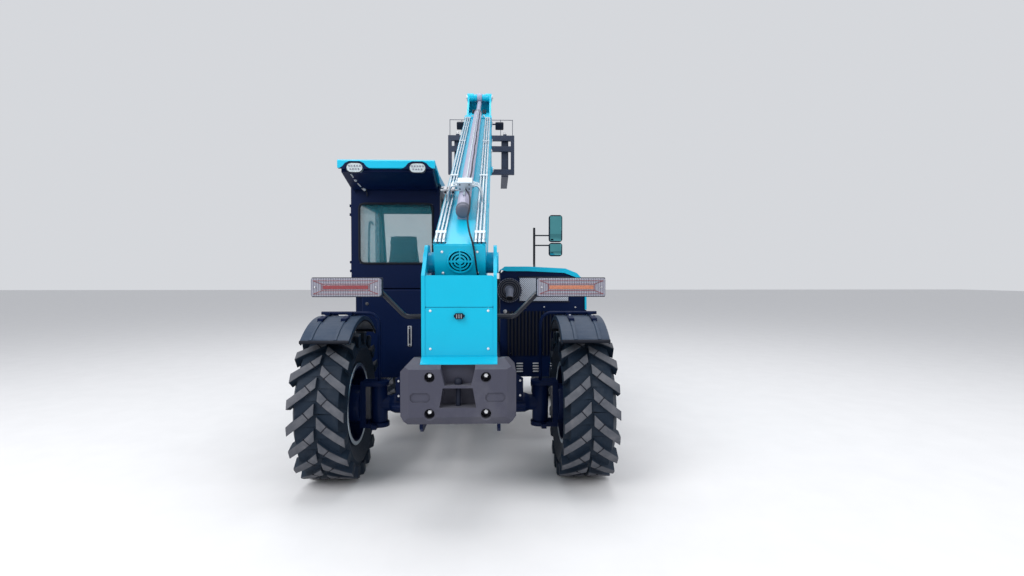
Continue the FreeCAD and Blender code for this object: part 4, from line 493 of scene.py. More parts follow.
class Piece:
    """Gathers the forms of one piece in one mesh, each in the first finish or in a named one."""

    sharp_from = math.radians(35.0)
    joined_within = 1e-6

    def __init__(self, name, *finishes, at=None):
        self.name = name
        self.mesh = bmesh.new()
        self.finishes = finishes
        self.at = at or Matrix()

    def verts(self, points):
        return [self.mesh.verts.new(point) for point in points]

    def slot(self, finish):
        return self.finishes.index(finish) if finish else 0

    def tint(self, verts, finish):
        for face in {face for vert in verts for face in vert.link_faces}:
            face.material_index = self.slot(finish)

    def rounded(self, verts, width):
        if width > 0:
            edges = list({edge for vert in verts for edge in vert.link_edges})
            bmesh.ops.bevel(self.mesh, geom=edges, offset=width, segments=2, profile=0.6,
                            affect="EDGES", material=-1)

    def skin(self, rings, finish, closed):
        """Faces from ring to ring, where a ring of one vert is a point, and over the ends."""
        steps = max(len(ring) for ring in rings)
        for first, second in zip(rings, rings[1:]):
            for step in range(steps):
                after = (step + 1) % steps
                corners = list(dict.fromkeys((
                    first[step % len(first)], first[after % len(first)],
                    second[after % len(second)], second[step % len(second)])))
                if len(corners) > 2:
                    self.mesh.faces.new(corners).material_index = self.slot(finish)
        for ring in (rings[0][::-1], rings[-1]) if closed else ():
            self.mesh.faces.new(ring).material_index = self.slot(finish)

    def box(self, corner, other, finish=None, edge=0.0, turn=None):
        """A box between two corners, its edges rounded, turned about its middle."""
        corner, other = Vector(corner), Vector(other)
        spin = (turn or Quaternion()).to_matrix().to_4x4()
        shape = Matrix.Diagonal((*(abs(length) for length in other - corner), 1.0))
        made = bmesh.ops.create_cube(self.mesh, size=1.0, matrix=Matrix.Translation(
            (corner + other) / 2) @ spin @ shape)
        self.tint(made["verts"], finish)
        self.rounded(made["verts"], edge)

    def rod(self, start, end, radius, sides=20, finish=None):
        """A round bar from point to point."""
        start, end = Vector(start), Vector(end)
        line = end - start
        spin = line.to_track_quat("Z", "Y").to_matrix().to_4x4()
        made = bmesh.ops.create_cone(
            self.mesh, cap_ends=True, segments=sides, radius1=radius, radius2=radius,
            depth=line.length, matrix=Matrix.Translation((start + end) / 2) @ spin)
        self.tint(made["verts"], finish)

    def lathe(self, profile, at, axis, steps=36, finish=None):
        """Turn (radius, height) corners about an axis through a point."""
        spin = Vector(axis).to_track_quat("Z", "Y")
        self.skin([self.verts(Vector(at) + spin @ point
                              for point in circle(radius, steps if radius > 0 else 1, height))
                   for radius, height in profile], finish, False)

    def prism(self, outline, axis, start, end, finish=None, edge=0.0):
        """Extrude an outline along x or y between two levels."""
        order = {"x": (2, 0, 1), "y": (0, 2, 1)}[axis]
        rings = [self.verts([(a, b, level)[index] for index in order] for a, b in outline)
                 for level in (start, end)]
        self.skin(rings, finish, True)
        self.rounded(rings[0] + rings[1], edge)

    def tube(self, points, radius, sides=12, finish=None, smooth=6):
        """A round tube whose line passes smoothly through its points."""
        line = flowing([Vector(point) for point in points], smooth)
        heading = (line[1] - line[0]).normalized()
        across = heading.orthogonal().normalized()
        rings = []
        for number, spot in enumerate(line):
            before, after = line[max(number - 1, 0)], line[min(number + 1, len(line) - 1)]
            new = (after - before).normalized()
            across = (heading.rotation_difference(new) @ across).normalized()
            heading = new
            other = heading.cross(across)
            rings.append(self.verts(spot + across * point.x + other * point.y
                                    for point in circle(radius, sides)))
        self.skin(rings, finish, True)

    def screw(self, at, axis, radius, finish=None):
        """A domed socket head on a washer."""
        self.lathe([(0.0, 0.004), (radius * 0.35, 0.004), (radius * 0.4, 0.008),
                    (radius * 0.85, 0.007), (radius, 0.0025), (radius * 1.35, 0.0022),
                    (radius * 1.35, -0.001)], at, axis, 16, finish)

    def hexagon(self, at, axis, radius, tall, finish=None):
        """A bolt's or nut's head."""
        self.lathe([(0.0, tall), (radius * 0.82, tall), (radius, tall * 0.85),
                    (radius, -0.001)], at, axis, 6, finish)

    def framed(self, x, corners, start, radius, thick):
        """A closed tube across X that turns by equal arcs round its corners."""
        sweep, step = 360 / len(corners), 22.5
        line = []
        for number, (y, z) in enumerate(corners):
            for part in range(round(sweep / step) + 1):
                turn = math.radians(start + sweep * number + step * part)
                line.append((x, y + radius * math.cos(turn), z + radius * math.sin(turn)))
        self.tube(line + line[:1], thick, 8, None, 1)

    def done(self, body, stands_for=()):
        """The finished object, which moves with a body."""
        bmesh.ops.remove_doubles(self.mesh, verts=self.mesh.verts, dist=self.joined_within)
        bmesh.ops.recalc_face_normals(self.mesh, faces=self.mesh.faces)
        data = bpy.data.meshes.new(self.name)
        self.mesh.to_mesh(data)
        self.mesh.free()
        for name in self.finishes:
            data.materials.append(material_of(name))
        data.polygons.foreach_set("use_smooth", [True] * len(data.polygons))
        data.set_sharp_from_angle(angle=self.sharp_from)
        item = bpy.data.objects.new(self.name, data)
        bpy.context.scene.collection.objects.link(item)
        item.matrix_world = self.at
        bpy.context.view_layer.update()
        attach(item, body)
        if stands_for:
            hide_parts(*stands_for)
        return item


# The nodes that take each finish; those at the four wheels go by their kind.
FINISH_NODES = {
    "cyan_paint": "tower tower_cover cab_roof outer_boom boom_tail_plate inner_boom boom_head "
                  "hood_lid",
    "black_paint": "main_frame rear_axle front_axle cab_frame roof_liner engine_tray "
                   "hydraulic_tank outriggers lift_barrel tilt_barrel door_frame knuckle rim",
    "gloss_black": "lamp_arms mirror_arm",
    "cast_weight": "counterweight",
    "black_plastic": "tow_pin cab_fittings mirror_head steering_wheel",
    "guard_plastic": "mudguard",
    "tyre_rubber": "tyre",
    "clear_glass": "cab_glass door_glass",
    "lamp_lens": "tail_lamps",
    "white_lens": "roof_lamps",
    "seat_fabric": "seat_cushion seat_back",
    "engine_iron": "engine",
    "dark_steel": "drive_line",
    "pipe_grey": "exhaust_outlet",
    "pipe_zinc": "boom_pipes",
    "pad_plastic": "wear_pads",
    "barrel_paint": "ram_barrel ram_rod",
    "rod_chrome": "lift_rod tilt_rod",
    "fork_steel": "carriage load_guard forks",
}
NODE_FINISHES = {node: name for name, nodes in FINISH_NODES.items() for node in nodes.split()}
# The edge rounding of the nodes that differ from a cut plate's.
EDGE_ROUNDING = {
    "counterweight": 0.014, "cab_roof": 0.022, "roof_liner": 0.012, "cab_frame": 0.007,
    "hood_lid": 0.006, "hydraulic_tank": 0.02, "tail_lamps": 0.01, "mirror_head": 0.018,
    "door_frame": 0.006, "engine_tray": 0.005, "mudguard": 0.003, "tyre": 0.004,
    "seat_cushion": 0.03, "seat_back": 0.03, "forks": 0.004, "cab_glass": 0.0,
    "door_glass": 0.0, "drive_line": 0.01, "engine": 0.012, "load_guard": 0.0,
    "boom_pipes": 0.001, "cab_fittings": 0.012,
}


def kind_of(node):
    for kind in ("knuckle", "mudguard", "rim", "tyre"):
        if node.startswith(kind + "_"):
            return kind
    return node


def dress_nodes():
    """Give every carried-over node its finish and rounded edges."""
    for node, item in NODES.items():
        kind = kind_of(node)
        material = material_of(NODE_FINISHES[kind])
        if not item.material_slots:
            item.data.materials.append(material)
        for slot in item.material_slots:
            slot.material = material
        width = EDGE_ROUNDING.get(kind, sizes().edge)
        if width > 0:
            weld = item.modifiers.new("joined corners", "WELD")
            weld.merge_threshold = 0.00002
            bevel = item.modifiers.new("rounded edges", "BEVEL")
            bevel.width = width
            bevel.segments = 2
            bevel.limit_method = "ANGLE"
            bevel.angle_limit = math.radians(38)
            bevel.harden_normals = True


def wheel_places():
    """The end of each wheel's names and the side that it stands on."""
    return [("%s_%s" % (end, side), out) for end in ("rear", "front")
            for side, out in (("left", 1), ("right", -1))]


def dress_wheels():
    """Nuts, hub cap and valve of each wheel, and bright rings on its rims: a painted highlight.
    """
    nut, nut_circle, plug_circle = sizes().nut, 0.17, 0.078
    cap_profile = [(0.0, 0.022), (0.052, 0.022), (0.060, 0.014), (0.062, -0.001)]
    flange_highlight_profile = [(0.300, -0.002), (0.303, 0.0022), (0.327, 0.0022), (0.331, -0.002)]
    for tail, out in wheel_places():
        hub = centre("rim_" + tail)
        hub.y = centre("tyre_" + tail).y
        half = (high("rim_" + tail) - low("rim_" + tail)).y / 2
        outward = Vector((0, out, 0))
        piece = Piece("wheel_fittings_" + tail, "bolt_steel", "black_paint", "pipe_zinc",
                      "soft_rubber")
        disc, cap = hub + outward * 0.012, hub + outward * 0.095
        for turn in turns(10, 0.5):
            spot = disc + arm(turn) * nut_circle
            piece.hexagon(spot, outward, nut, 0.024)
            piece.rod(spot, spot + outward * 0.034, nut * 0.5, 12)
        piece.lathe(cap_profile, cap, outward, 28, "black_paint")
        for turn in turns(6):
            piece.hexagon(cap + arm(turn) * plug_circle, outward, 0.008, 0.009)
        # Bright metal rings on both rim flanges: a painted highlight of the flange edges.
        for side in SIDES:
            piece.lathe(flange_highlight_profile, hub + Vector((0, half * side, 0)), (0, side, 0), 64,
                        "pipe_zinc")
        valve = disc + Vector((0.25, 0, 0.05))
        piece.rod(valve, valve + Vector((0.02, 0.05 * out, 0)), 0.006, 10, "soft_rubber")
        piece.done("wheel_" + tail)


def dress_treads():
    """The groove that parts each tread bar's broad head from its blade."""
    bars, wide, deep, proud = 38, 0.008, 0.006, 0.0011
    # The groove's ends, by their reach along the tread and across it.
    groove = ((0.062, 0.036), (0.120, 0.088))
    for tail, _ in wheel_places():
        hub = centre("tyre_" + tail)
        piece = Piece("tread_grooves_" + tail, "soft_rubber")
        for number, turn in enumerate(turns(bars)):
            hand = -1 if number % 2 else 1
            spin = Matrix.Rotation(turn, 3, "Y")
            start, end = [Vector((0, y * hand, 0))
                          + arm(math.pi / 2 - math.atan2(x, TYRE_RADIUS)) * TYRE_RADIUS
                          for x, y in groove]
            middle, along = (start + end) / 2, (end - start).normalized()
            up = Vector((middle.x, 0, middle.z)).normalized()
            across = up.cross(along).normalized()
            lie = spin @ Matrix((along, across, along.cross(across))).transposed()
            spot = hub + spin @ (middle - up * (deep / 2 - proud))
            half = Vector(((end - start).length, wide, deep)) / 2
            piece.box(spot - half, spot + half, "soft_rubber", 0.0, lie.to_quaternion())
        piece.done("wheel_" + tail)


def dress_guards():
    """Bolts, clamps and rolled edges of each mudguard."""
    first, last, parts = 52, 128, 14
    for tail, out in wheel_places():
        a, b = low("mudguard_" + tail), high("mudguard_" + tail)
        x, _, z = JOINTS["steer_" + tail]["pos_m"]
        radius = b.z - z
        inner, outer = (a.y, b.y)[::out]
        piece = Piece("guard_fittings_" + tail, "bolt_steel", "soft_rubber", "black_paint")
        for y in (inner + 0.103 * out, outer - 0.077 * out):
            hub = Vector((x, y, z))
            for lean in SIDES:
                # Screws of the strap and the clamp: angle from upright, level and head.
                for angle, level, head in ((7, -0.001, 0.007), (8, 0.006, 0.008)):
                    way = arm(math.radians(90 + angle * lean))
                    piece.screw(hub + way * (radius + level), way, head)
                for angle, long, thick in ((12.5, 0.060, 0.007), (16, 0.012, 0.016)):
                    spot = hub + arm(math.radians(90 + angle * lean)) * radius
                    half = Vector((long, 0.021, thick))
                    piece.box(spot - half, spot + half, "black_paint", 0.002,
                              about_y(-angle * lean))
        for y in (inner, outer):
            hub = Vector((x, y, z))
            line = [first + (last - first) * number / parts for number in range(parts + 1)]
            piece.tube([hub + arm(math.radians(angle)) * (radius - 0.047) for angle in line],
                       0.007, 8, "soft_rubber", 2)
        for angle in (first - 0.5, last + 0.5):
            spot = Vector((x, 0, z)) + arm(math.radians(angle)) * (radius - 0.016)
            piece.tube([(spot.x, y, spot.z) for y in (inner, outer)], 0.013, 12, "soft_rubber", 1)
        piece.done("knuckle_" + tail)


def dress_axles():
    """Housing bolts, steering rod glands and brake hoses of the axles."""
    housing_y, bolt_circle = 0.152, 0.125
    gland_profile = [(0.018, 0.02), (0.034, 0.02), (0.036, 0.0)]
    # The hose's points: ahead of the axle, out from the middle, above the hub.
    hose = ((0.14, 0.18, 0.035), (0.14, 0.18, 0.1), (0.08, 0.15, 0.2), (-0.03, 0.13, 0.24))
    for end, hub, ahead in (("rear", REAR_HUB, -1), ("front", FRONT_HUB, 1)):
        piece = Piece("axle_fittings_" + end, "bolt_steel", "hose_rubber", "rod_chrome",
                      "dark_steel")
        for side in SIDES:
            housing = Vector((hub.x, housing_y * side, hub.z))
            for turn in turns(12):
                piece.hexagon(housing + arm(turn) * bolt_circle, (0, side, 0), 0.011, 0.012)
            piece.lathe(gland_profile, (hub.x + 0.14 * ahead, 0.232 * side, hub.z),
                        (0, side, 0), 24, "dark_steel")
            piece.tube([(hub.x + x * ahead, y * side, hub.z + z) for x, y, z in hose],
                       0.009, 10, "hose_rubber")
        piece.done("machine")


def dress_gussets():
    """Bolted plates that tie the rear axle to the frame."""
    piece = Piece("axle_gussets", "black_paint", "bolt_steel")
    outline = [(0.20, 0.88), (0.35, 0.88), (0.515, 0.80), (0.515, 0.62), (0.20, 0.62)]
    back = JOINTS["steer_rear_left"]["pos_m"][0] - 0.082
    for side in SIDES:
        piece.prism([(y * side, z) for y, z in outline], "x", back, back + 0.012,
                    "black_paint", 0.003)
        for y, z in ((0.30, 0.84), (0.49, 0.78), (0.49, 0.66), (0.36, 0.66)):
            piece.hexagon((back, y * side, z), BACKWARD, 0.010, 0.008, "bolt_steel")
    piece.done("machine")


def dress_cover():
    """Screws and socket of the tower's cover, and the tower's foot over the casting."""
    face = low("tower_cover").x
    piece = Piece("cover_screws", "white_paint", "black_plastic", "black_paint", "bolt_steel")
    for y, z in pairs((MID - 0.192, MID + 0.192), (1.141, 1.394)):
        piece.screw((face, y, z), BACKWARD, sizes().screw)
    piece.box((face - 0.026, MID - 0.026, 1.340), (face, MID + 0.026, 1.379), "black_plastic",
              0.005)
    piece.box((face - 0.010, MID - 0.036, 1.350), (face, MID + 0.036, 1.369), "black_plastic",
              0.004)
    for y in (MID - 0.015, MID, MID + 0.015):
        piece.box((face - 0.029, y - 0.0025, 1.346), (face - 0.02, y + 0.0025, 1.373),
                  "bolt_steel", 0.001)
    piece.done("machine")
    toe = Piece("tower_toe", "cyan_paint")
    front, bend, back, thick, drop = face + 0.002, -3.395, -3.462, 0.005, 0.032
    toe.prism([(front, 1.0855), (bend, 1.0855), (back, 1.0855 - drop),
               (back, 1.0855 - drop + thick), (bend + 0.001, 1.0855 + thick),
               (front, 1.0855 + thick)], "y", MID - 0.253, MID + 0.246)
    toe.done("machine")


def dress_hitch():
    """The tow pin's knob and its chain."""
    piece = Piece("hitch_fittings", "black_plastic", "pipe_grey")
    pin = centre("tow_pin")
    pin.z = high("tow_pin").z
    piece.lathe([(0.0, 0.02), (0.020, 0.016), (0.026, 0.0), (0.016, -0.006)], pin, UPWARD, 24)
    link = [Vector((point.x, point.y * 7 / 11, 0)) for point in circle(0.011, 10)]
    for number in range(9):
        spot = pin + Vector((0.03 + 0.012 * number, 0.03 * math.sin(number * 0.35),
                             -0.012 - 0.004 * number))
        side = Quaternion((1, 0, 0), math.radians(90 * (number % 2)))
        piece.tube([spot + side @ point for point in link + link[:1]], 0.0022, 6, "pipe_grey", 1)
    piece.done("machine")


def dress_weight():
    """Rims of the casting's four holes and the bolts deep in them."""
    face = low("counterweight").x
    piece = Piece("weight_hole_rims", "cast_weight", "white_paint")
    for y, z in pairs((MID - 0.18, MID + 0.18), (0.745, 0.979)):
        piece.lathe([(0.0335, -0.085), (0.0335, -0.002), (0.036, -0.0006), (0.041, 0.0005)],
                    (face, y, z), BACKWARD, 32)
        head = Vector((face + 0.03, y, z + 0.010))
        piece.rod(head + Vector((0.055, 0, 0)), head, 0.009, 14, "white_paint")
        piece.hexagon(head, BACKWARD, 0.014, 0.012, "white_paint")
    piece.done("machine")


def dress_tail_lamps():
    """Housing, thin red lines and coloured bar of each tail lamp."""
    a, b = low("tail_lamps"), high("tail_lamps")
    face, z = a.x - 0.002, (a.z + b.z) / 2
    half_wide, inset, half_bar, half_tall = 0.23, 0.016, 0.155, 0.022
    for name, y, bar in (("right", a.y + half_wide, "amber_lens"),
                         ("left", b.y - half_wide, "red_lens")):
        piece = Piece("tail_lamp_trim_" + name, "black_plastic", "red_lens", "amber_lens",
                      "bolt_steel")
        piece.box((a.x + 0.03, y - half_wide - 0.005, a.z - 0.006),
                  (b.x + 0.002, y + half_wide + 0.005, b.z + 0.006), "black_plastic", 0.008)
        outer, inner = [[(face, y + along * wide, z + up * tall)
                         for along, up in ((-1, -1), (1, -1), (1, 1), (-1, 1))]
                        for wide, tall in ((half_wide - inset, (b.z - a.z) / 2 - inset),
                                           (half_bar, half_tall))]
        for number in range(4):
            piece.rod(inner[number], inner[(number + 1) % 4], 0.0018, 8, "red_lens")
            piece.rod(outer[number], inner[number], 0.0018, 8, "red_lens")
        for number in (0, 2):
            piece.rod(outer[number], outer[number + 1], 0.0014, 8, "red_lens")
        piece.box((face - 0.001, y - half_bar + 0.006, z - half_tall * 0.6),
                  (face + 0.004, y + half_bar - 0.006, z + half_tall * 0.6), bar, 0.003)
        for side in SIDES:
            piece.screw((face, y + (half_wide - 0.03) * side, z), BACKWARD, 0.005, "bolt_steel")
        piece.done("machine")


# In the boom's pieces X runs along the boom from its pivot, and Z stands up from it.
RAM_Z = 0.272


def dress_end_plate():
    """Screws and ring of the boom's end plate and the hose that runs over it."""
    back = -0.142
    piece = Piece("end_plate_screws", "white_paint", "hose_rubber", "black_plastic",
                  "cyan_paint", at=BOOM)
    for y, z in pairs((-0.118, 0.118), (-0.155, -0.01, 0.148)):
        piece.screw((back, y, z), BACKWARD, sizes().screw * 1.05)
    piece.lathe([(0.080, 0.0), (0.080, 0.006), (0.088, 0.006), (0.090, 0.0)],
                (back + 0.002, 0, 0.075), BACKWARD, 48, "cyan_paint")
    piece.tube([(0.60, -0.01, 0.345), (0.45, -0.045, 0.345), (0.28, -0.055, 0.33),
                (0.12, -0.045, 0.285), (-0.02, -0.062, 0.245), (-0.12, -0.085, 0.215),
                (-0.158, -0.100, 0.15), (-0.160, -0.117, 0.0), (-0.158, -0.143, -0.12),
                (-0.14, -0.155, -0.20), (-0.10, -0.158, -0.24)], 0.0065, 12, "hose_rubber")
    piece.done("boom")


def dress_elbows():
    """Elbows, nuts and grommets where the boom's pipes turn down."""
    piece = Piece("pipe_elbows", "pipe_zinc", "black_plastic", "hose_rubber", at=BOOM)
    top, back = 0.2, -0.111
    bend = ((0.111, 0.02), (0.061, 0.021), (0.021, 0.016), (0.001, 0.002))
    for side, number in pairs(SIDES, range(3)):
        y = (0.160 - 0.026 * number) * side
        piece.tube([(back + x, y, top + z) for x, z in bend], 0.0115, 12)
        piece.lathe([(0.012, 0.0), (0.018, 0.002), (0.020, 0.0)], (back, y, top), UPWARD, 18,
                    "black_plastic")
        piece.hexagon((back + 0.116, y, top + 0.02), BACKWARD, 0.0135, 0.018)
    piece.done("boom")


def dress_boom_bolts():
    """Wear pad bolts at the boom's collar, weld seams and pad covers."""
    piece = Piece("boom_bolts", "bolt_steel", "cyan_paint", at=BOOM)
    collar = 4.21
    for side in SIDES:
        outward = (0, side, 0)
        for x, z in pairs((0.04, 0.12), (-0.12, 0.12)):
            piece.hexagon((collar + x, 0.187 * side, z), outward, 0.013, 0.014)
        for x in (0.05, 0.11):
            piece.hexagon((collar + x, 0.08 * side, 0.212), UPWARD, 0.012, 0.012)
        for z in (-0.196, 0.196):
            piece.tube([(-0.12, 0.176 * side, z), (4.2, 0.176 * side, z)], 0.004, 6,
                       "cyan_paint", 1)
        for x in (1.2, 2.4, 3.4):
            piece.lathe([(0.0, 0.004), (0.020, 0.004), (0.024, 0.0)], (x, 0.175 * side, 0.0),
                        outward, 24, "cyan_paint")
    piece.done("boom")


def dress_valve():
    """Unions and hoses of the valve block and the clamps beside it."""
    piece = Piece("valve_fittings", "pipe_zinc", "hose_rubber", "silver_paint", at=BOOM)
    valve_x, valve_z = 0.62, 0.322
    hose = ((0.07, 0.035), (0.105, 0.03), (0.128, -0.02), (0.134, -0.09))
    for number, side in pairs(range(3), SIDES):
        x = valve_x + 0.025 + 0.04 * number
        piece.hexagon((x, 0.058 * side, valve_z + 0.035), (0, side, 0), 0.014, 0.018)
        piece.tube([(x, y * side, valve_z + z) for y, z in hose], 0.007, 10)
    piece.rod((valve_x + 0.13, 0, valve_z + 0.035), (valve_x + 0.2, 0, valve_z + 0.035),
              0.024, 20, "silver_paint")
    for x in (0.80, 0.87):
        piece.rod((x, 0.05, RAM_Z), (x, 0.205, RAM_Z), 0.008, 12, "silver_paint")
    for y in (0.104, 0.136, 0.168):
        piece.box((0.785, y - 0.012, 0.240), (0.885, y + 0.012, 0.285), "silver_paint", 0.004)
        piece.hexagon((0.785, y, 0.262), BACKWARD, 0.010, 0.012, "hose_rubber")
    for y, z in pairs((-0.036, 0.036), (valve_z + 0.018, valve_z + 0.052)):
        piece.rod((valve_x - 0.0015, y, z), (valve_x + 0.004, y, z), 0.006, 12, "hose_rubber")
    piece.done("boom")


def dress_ram():
    """Gland, ring, end cap, pipe and cable of the ram on the boom."""
    piece = Piece("ram_gland", "pipe_grey", "pipe_zinc", "hose_rubber", at=BOOM)
    # Rings round the ram: profile, place along it and the way that the profile rises.
    for profile, x, way in (
            (((0.0305, 0.02), (0.047, 0.02), (0.054, 0.012), (0.054, -0.05), (0.0505, -0.055)),
             4.18, 1),
            (((0.0505, 0.0), (0.054, 0.002), (0.054, 0.03), (0.0505, 0.032)), 0.33, 1),
            (((0.0, 0.010), (0.030, 0.010), (0.044, 0.007), (0.0515, 0.0), (0.0515, -0.022)),
             0.300, -1)):
        piece.lathe(profile, (x, 0, RAM_Z), (way, 0, 0), 32)
    piece.tube([(0.5, 0.0, 0.328), (2.0, 0.0, 0.328), (4.0, 0.0, 0.328), (4.1, 0, 0.326)],
               0.008, 10, "pipe_zinc", 1)
    piece.tube([(0.78 + 0.22 * number, -0.031 + 0.003 * math.sin(2.3 * number), 0.3165)
                for number in range(16)], 0.006, 8, "hose_rubber")
    piece.done("boom")


def dress_head():
    """Pin caps and hoses at the boom's head and the eye of the ram's rod."""
    crest = Piece("crest_fittings", "bolt_steel", "barrel_paint", at=BOOM)
    piece = Piece("head_fittings", "bolt_steel", "hose_rubber", at=BOOM)
    # Caps of the pins: their piece, the pin's x and z, how far out they sit, and radius.
    for holder, x, z, out, radius in ((crest, 5.1, 0.335, 0.183, 0.045),
                                      (piece, 5.4, -0.85, 0.196, 0.048),
                                      (piece, 4.9, -0.42, 0.176, 0.03)):
        for side in SIDES:
            holder.lathe([(0.0, 0.012), (radius * 0.5, 0.012), (radius * 0.62, 0.009),
                          (radius * 0.9, 0.009), (radius * 0.96, 0.0)], (x, out * side, z),
                         (0, side, 0), 28)
            holder.hexagon((x, (out + 0.010) * side, z), (0, side, 0), radius * 0.3, 0.012)
    crest.lathe([(0.060, -0.036), (0.0665, -0.034), (0.068, -0.030), (0.068, 0.030),
                 (0.0665, 0.034), (0.060, 0.036)], (5.1, 0, 0.335), (0, 1, 0), 40, "barrel_paint")
    crest.done("inner_boom")
    for number, y in enumerate((-0.09, -0.06, 0.06, 0.09)):
        piece.tube([(4.7, y, 0.18), (4.85, y, 0.20), (4.98, y, 0.12), (5.02, y, -0.1),
                    (4.98, y * 0.8, -0.3), (5.02, y * 0.7, -0.42 - 0.03 * number)],
                   sizes().hose, 12, "hose_rubber")
    piece.done("inner_boom")


def dress_head_lamps():
    """The two work lamps at the boom's head with their brackets."""
    piece = Piece("head_lamps", "black_plastic", "white_lens", "black_paint", at=BOOM)
    for side in SIDES:
        y = 0.303 * side
        piece.box((5.18, 0.17 * side, -0.115), (5.24, 0.186 * side, -0.035), "black_paint", 0.003)
        piece.rod((5.21, 0.18 * side, -0.075), (5.21, y, -0.075), 0.011, 12, "black_paint")
        piece.box((5.18, y - 0.065, -0.16), (5.255, y + 0.065, -0.045), "black_plastic", 0.016)
        piece.box((5.252, y - 0.052, -0.148), (5.261, y + 0.052, -0.057), "white_lens", 0.003)
    piece.done("inner_boom")


def dress_carriage():
    """Fork locks, the hooks' lower pads, tilt pin caps and the rail's notches."""
    piece = Piece("carriage_fittings", "bolt_steel", "fork_steel", at=CARRIAGE)
    for side in SIDES:
        y = 0.40 * side
        piece.box((0.14, y - 0.03, 0.60), (0.215, y + 0.03, 0.628), "fork_steel", 0.004)
        piece.rod((0.2, y, 0.62), (0.2, y, 0.675), 0.010, 14)
        piece.rod((0.2, y - 0.02, 0.668), (0.2, y + 0.03, 0.668), 0.006, 10)
        piece.box((0.12, y - 0.055, -0.068), (0.178, y + 0.055, -0.060), "fork_steel", 0.002)
        piece.lathe([(0.0, 0.012), (0.045, 0.012), (0.047, 0.0)], (0.0, 0.069 * side, 0.0),
                    (0, side, 0), 28)
    rail_x, rail_z = 0.172, 0.594
    for number in (0, 1, 2, 4, 5, 6, 8, 9, 10):
        y = -0.5 + 0.1 * number
        piece.box((rail_x, y - 0.004, rail_z - 0.02),
                  (rail_x + 0.008, y + 0.004, rail_z + 0.0065), "fork_steel", 0.001)
    piece.done("carriage")


def dress_cab():
    """Window seal, handle, screws and grab rail of the cab."""
    back, turn = low("cab_frame").x, 0.05
    left, right, bottom, top = 1.03 - turn, 0.32 + turn, 1.75 + turn, 2.33 - turn
    seal = Piece("window_seals", "soft_rubber", "black_plastic", "bolt_steel")
    seal.framed(back - 0.002, ((left, top), (right, top), (right, bottom), (left, bottom)), 0,
                turn, 0.011)
    seal.done("machine")
    piece = Piece("cab_fittings_outside", "black_plastic", "bolt_steel", "black_paint")
    piece.tube([(back - 0.004, 0.36, 1.46), (back - 0.05, 0.36, 1.47), (back - 0.05, 0.36, 1.60),
                (back - 0.004, 0.36, 1.61)], 0.010, 12, "black_paint")
    for y, z in pairs((0.292, 1.068), (1.60, 2.44)):
        piece.screw((back - 0.001, y, z), BACKWARD, 0.010, "black_paint")
    rail_x = high("cab_frame").x - 0.52
    piece.tube([(rail_x, 1.112, 1.45), (rail_x, 1.165, 1.47), (rail_x, 1.165, 2.2),
                (rail_x, 1.112, 2.22)], 0.013, 12, "black_paint")
    piece.done("machine")


def dress_door():
    """Lock and handle of the door."""
    piece = Piece("door_fittings", "black_plastic", "bolt_steel", "soft_rubber")
    face, z = high("door_glass").y + 0.04, 1.67
    piece.box((-0.70, face, z - 0.05), (-0.62, face + 0.03, z + 0.05), "black_plastic", 0.01)
    piece.tube([(-0.70, face + 0.02, z), (-0.76, face + 0.045, z), (-0.84, face + 0.045, z),
                (-0.87, face + 0.004, z)], 0.010, 12)
    piece.done("cab_door")


def dress_roof():
    """Lead, lamps' rims, light dots and brows, and the beacon's cover on the roof."""
    piece = Piece("roof_lenses", "black_plastic", "white_lens", "red_lens", "lamp_lens",
                  "black_paint", "silver_paint")
    lead = [Vector(point) for point in (
        (-2.03, 1.012, 2.556), (-1.95, 1.008, 2.534), (-1.85, 1.000, 2.504),
        (-1.76, 0.985, 2.478), (-1.69, 0.955, 2.448), (-1.672, 0.950, 2.40))]
    piece.tube(lead, 0.007, 8)
    # Silver sleeves on the lead: half their length and their radius.
    sleeves = ((0.034, 0.011), (0.014, 0.015), (0.036, 0.010), (0.016, 0.016))
    for before, after, (half, radius) in zip(lead, lead[1:], sleeves):
        middle, way = (before + after) / 2, (after - before).normalized() * half
        piece.rod(middle - way, middle + way, radius, 12, "silver_paint")
    face, back, z, half = low("roof_lamps").x, low("cab_roof").x, 2.589, 0.030
    slope = ((0.140, 2.577), (0.104, 2.600), (0.082, 2.628), (0.046, 2.6445))
    brow = [(-y, level) for y, level in slope] + list(slope[::-1])
    for end, start in ((half, -15), (-half, 90)):
        for number in range(7):
            turn = math.radians(start + 17.5 * number)
            brow.append((end + 0.047 * math.cos(turn), z + 0.047 * math.sin(turn)))
    for y in (0.959, 0.403):
        piece.framed(face, ((y + half, z), (y - half, z)), -90, 0.0445, 0.005)
        for number in range(9):
            spot = (face - 0.001, y - 0.048 + 0.012 * number, z + 0.014 * (-1) ** number)
            piece.lathe([(0.0, 0.002), (0.0045, 0.002), (0.0075, 0.004), (0.008, 0.0)], spot,
                        BACKWARD, 12, "lamp_lens")
        piece.prism([(y + across, level) for across, level in brow], "x", back - 0.0035,
                    back + 0.003, "black_paint")
    beacon = Vector((-1.600, 0.340, high("roof_lamps").z - 0.117))
    piece.lathe([(0.0545, -0.004), (0.0565, 0.0), (0.0565, 0.012), (0.050, 0.018)], beacon,
                UPWARD, 28)
    piece.lathe([(0.0495, 0.014), (0.0495, 0.090), (0.044, 0.112), (0.024, 0.1215),
                 (0.0, 0.1225)], beacon, UPWARD, 28, "red_lens")
    piece.done("machine")


def dress_mirror():
    """The two glasses of the mirror."""
    a, b, inset = low("mirror_head"), high("mirror_head"), 0.014
    piece = Piece("mirror_fittings", "mirror_face", "soft_rubber", "bolt_steel")
    for bottom, top in ((2.074, b.z - inset), (a.z + inset, 2.036)):
        piece.box((a.x - 0.003, a.y + inset, bottom), (a.x + 0.004, b.y - inset, top),
                  "mirror_face", 0.002)
    piece.done("machine")


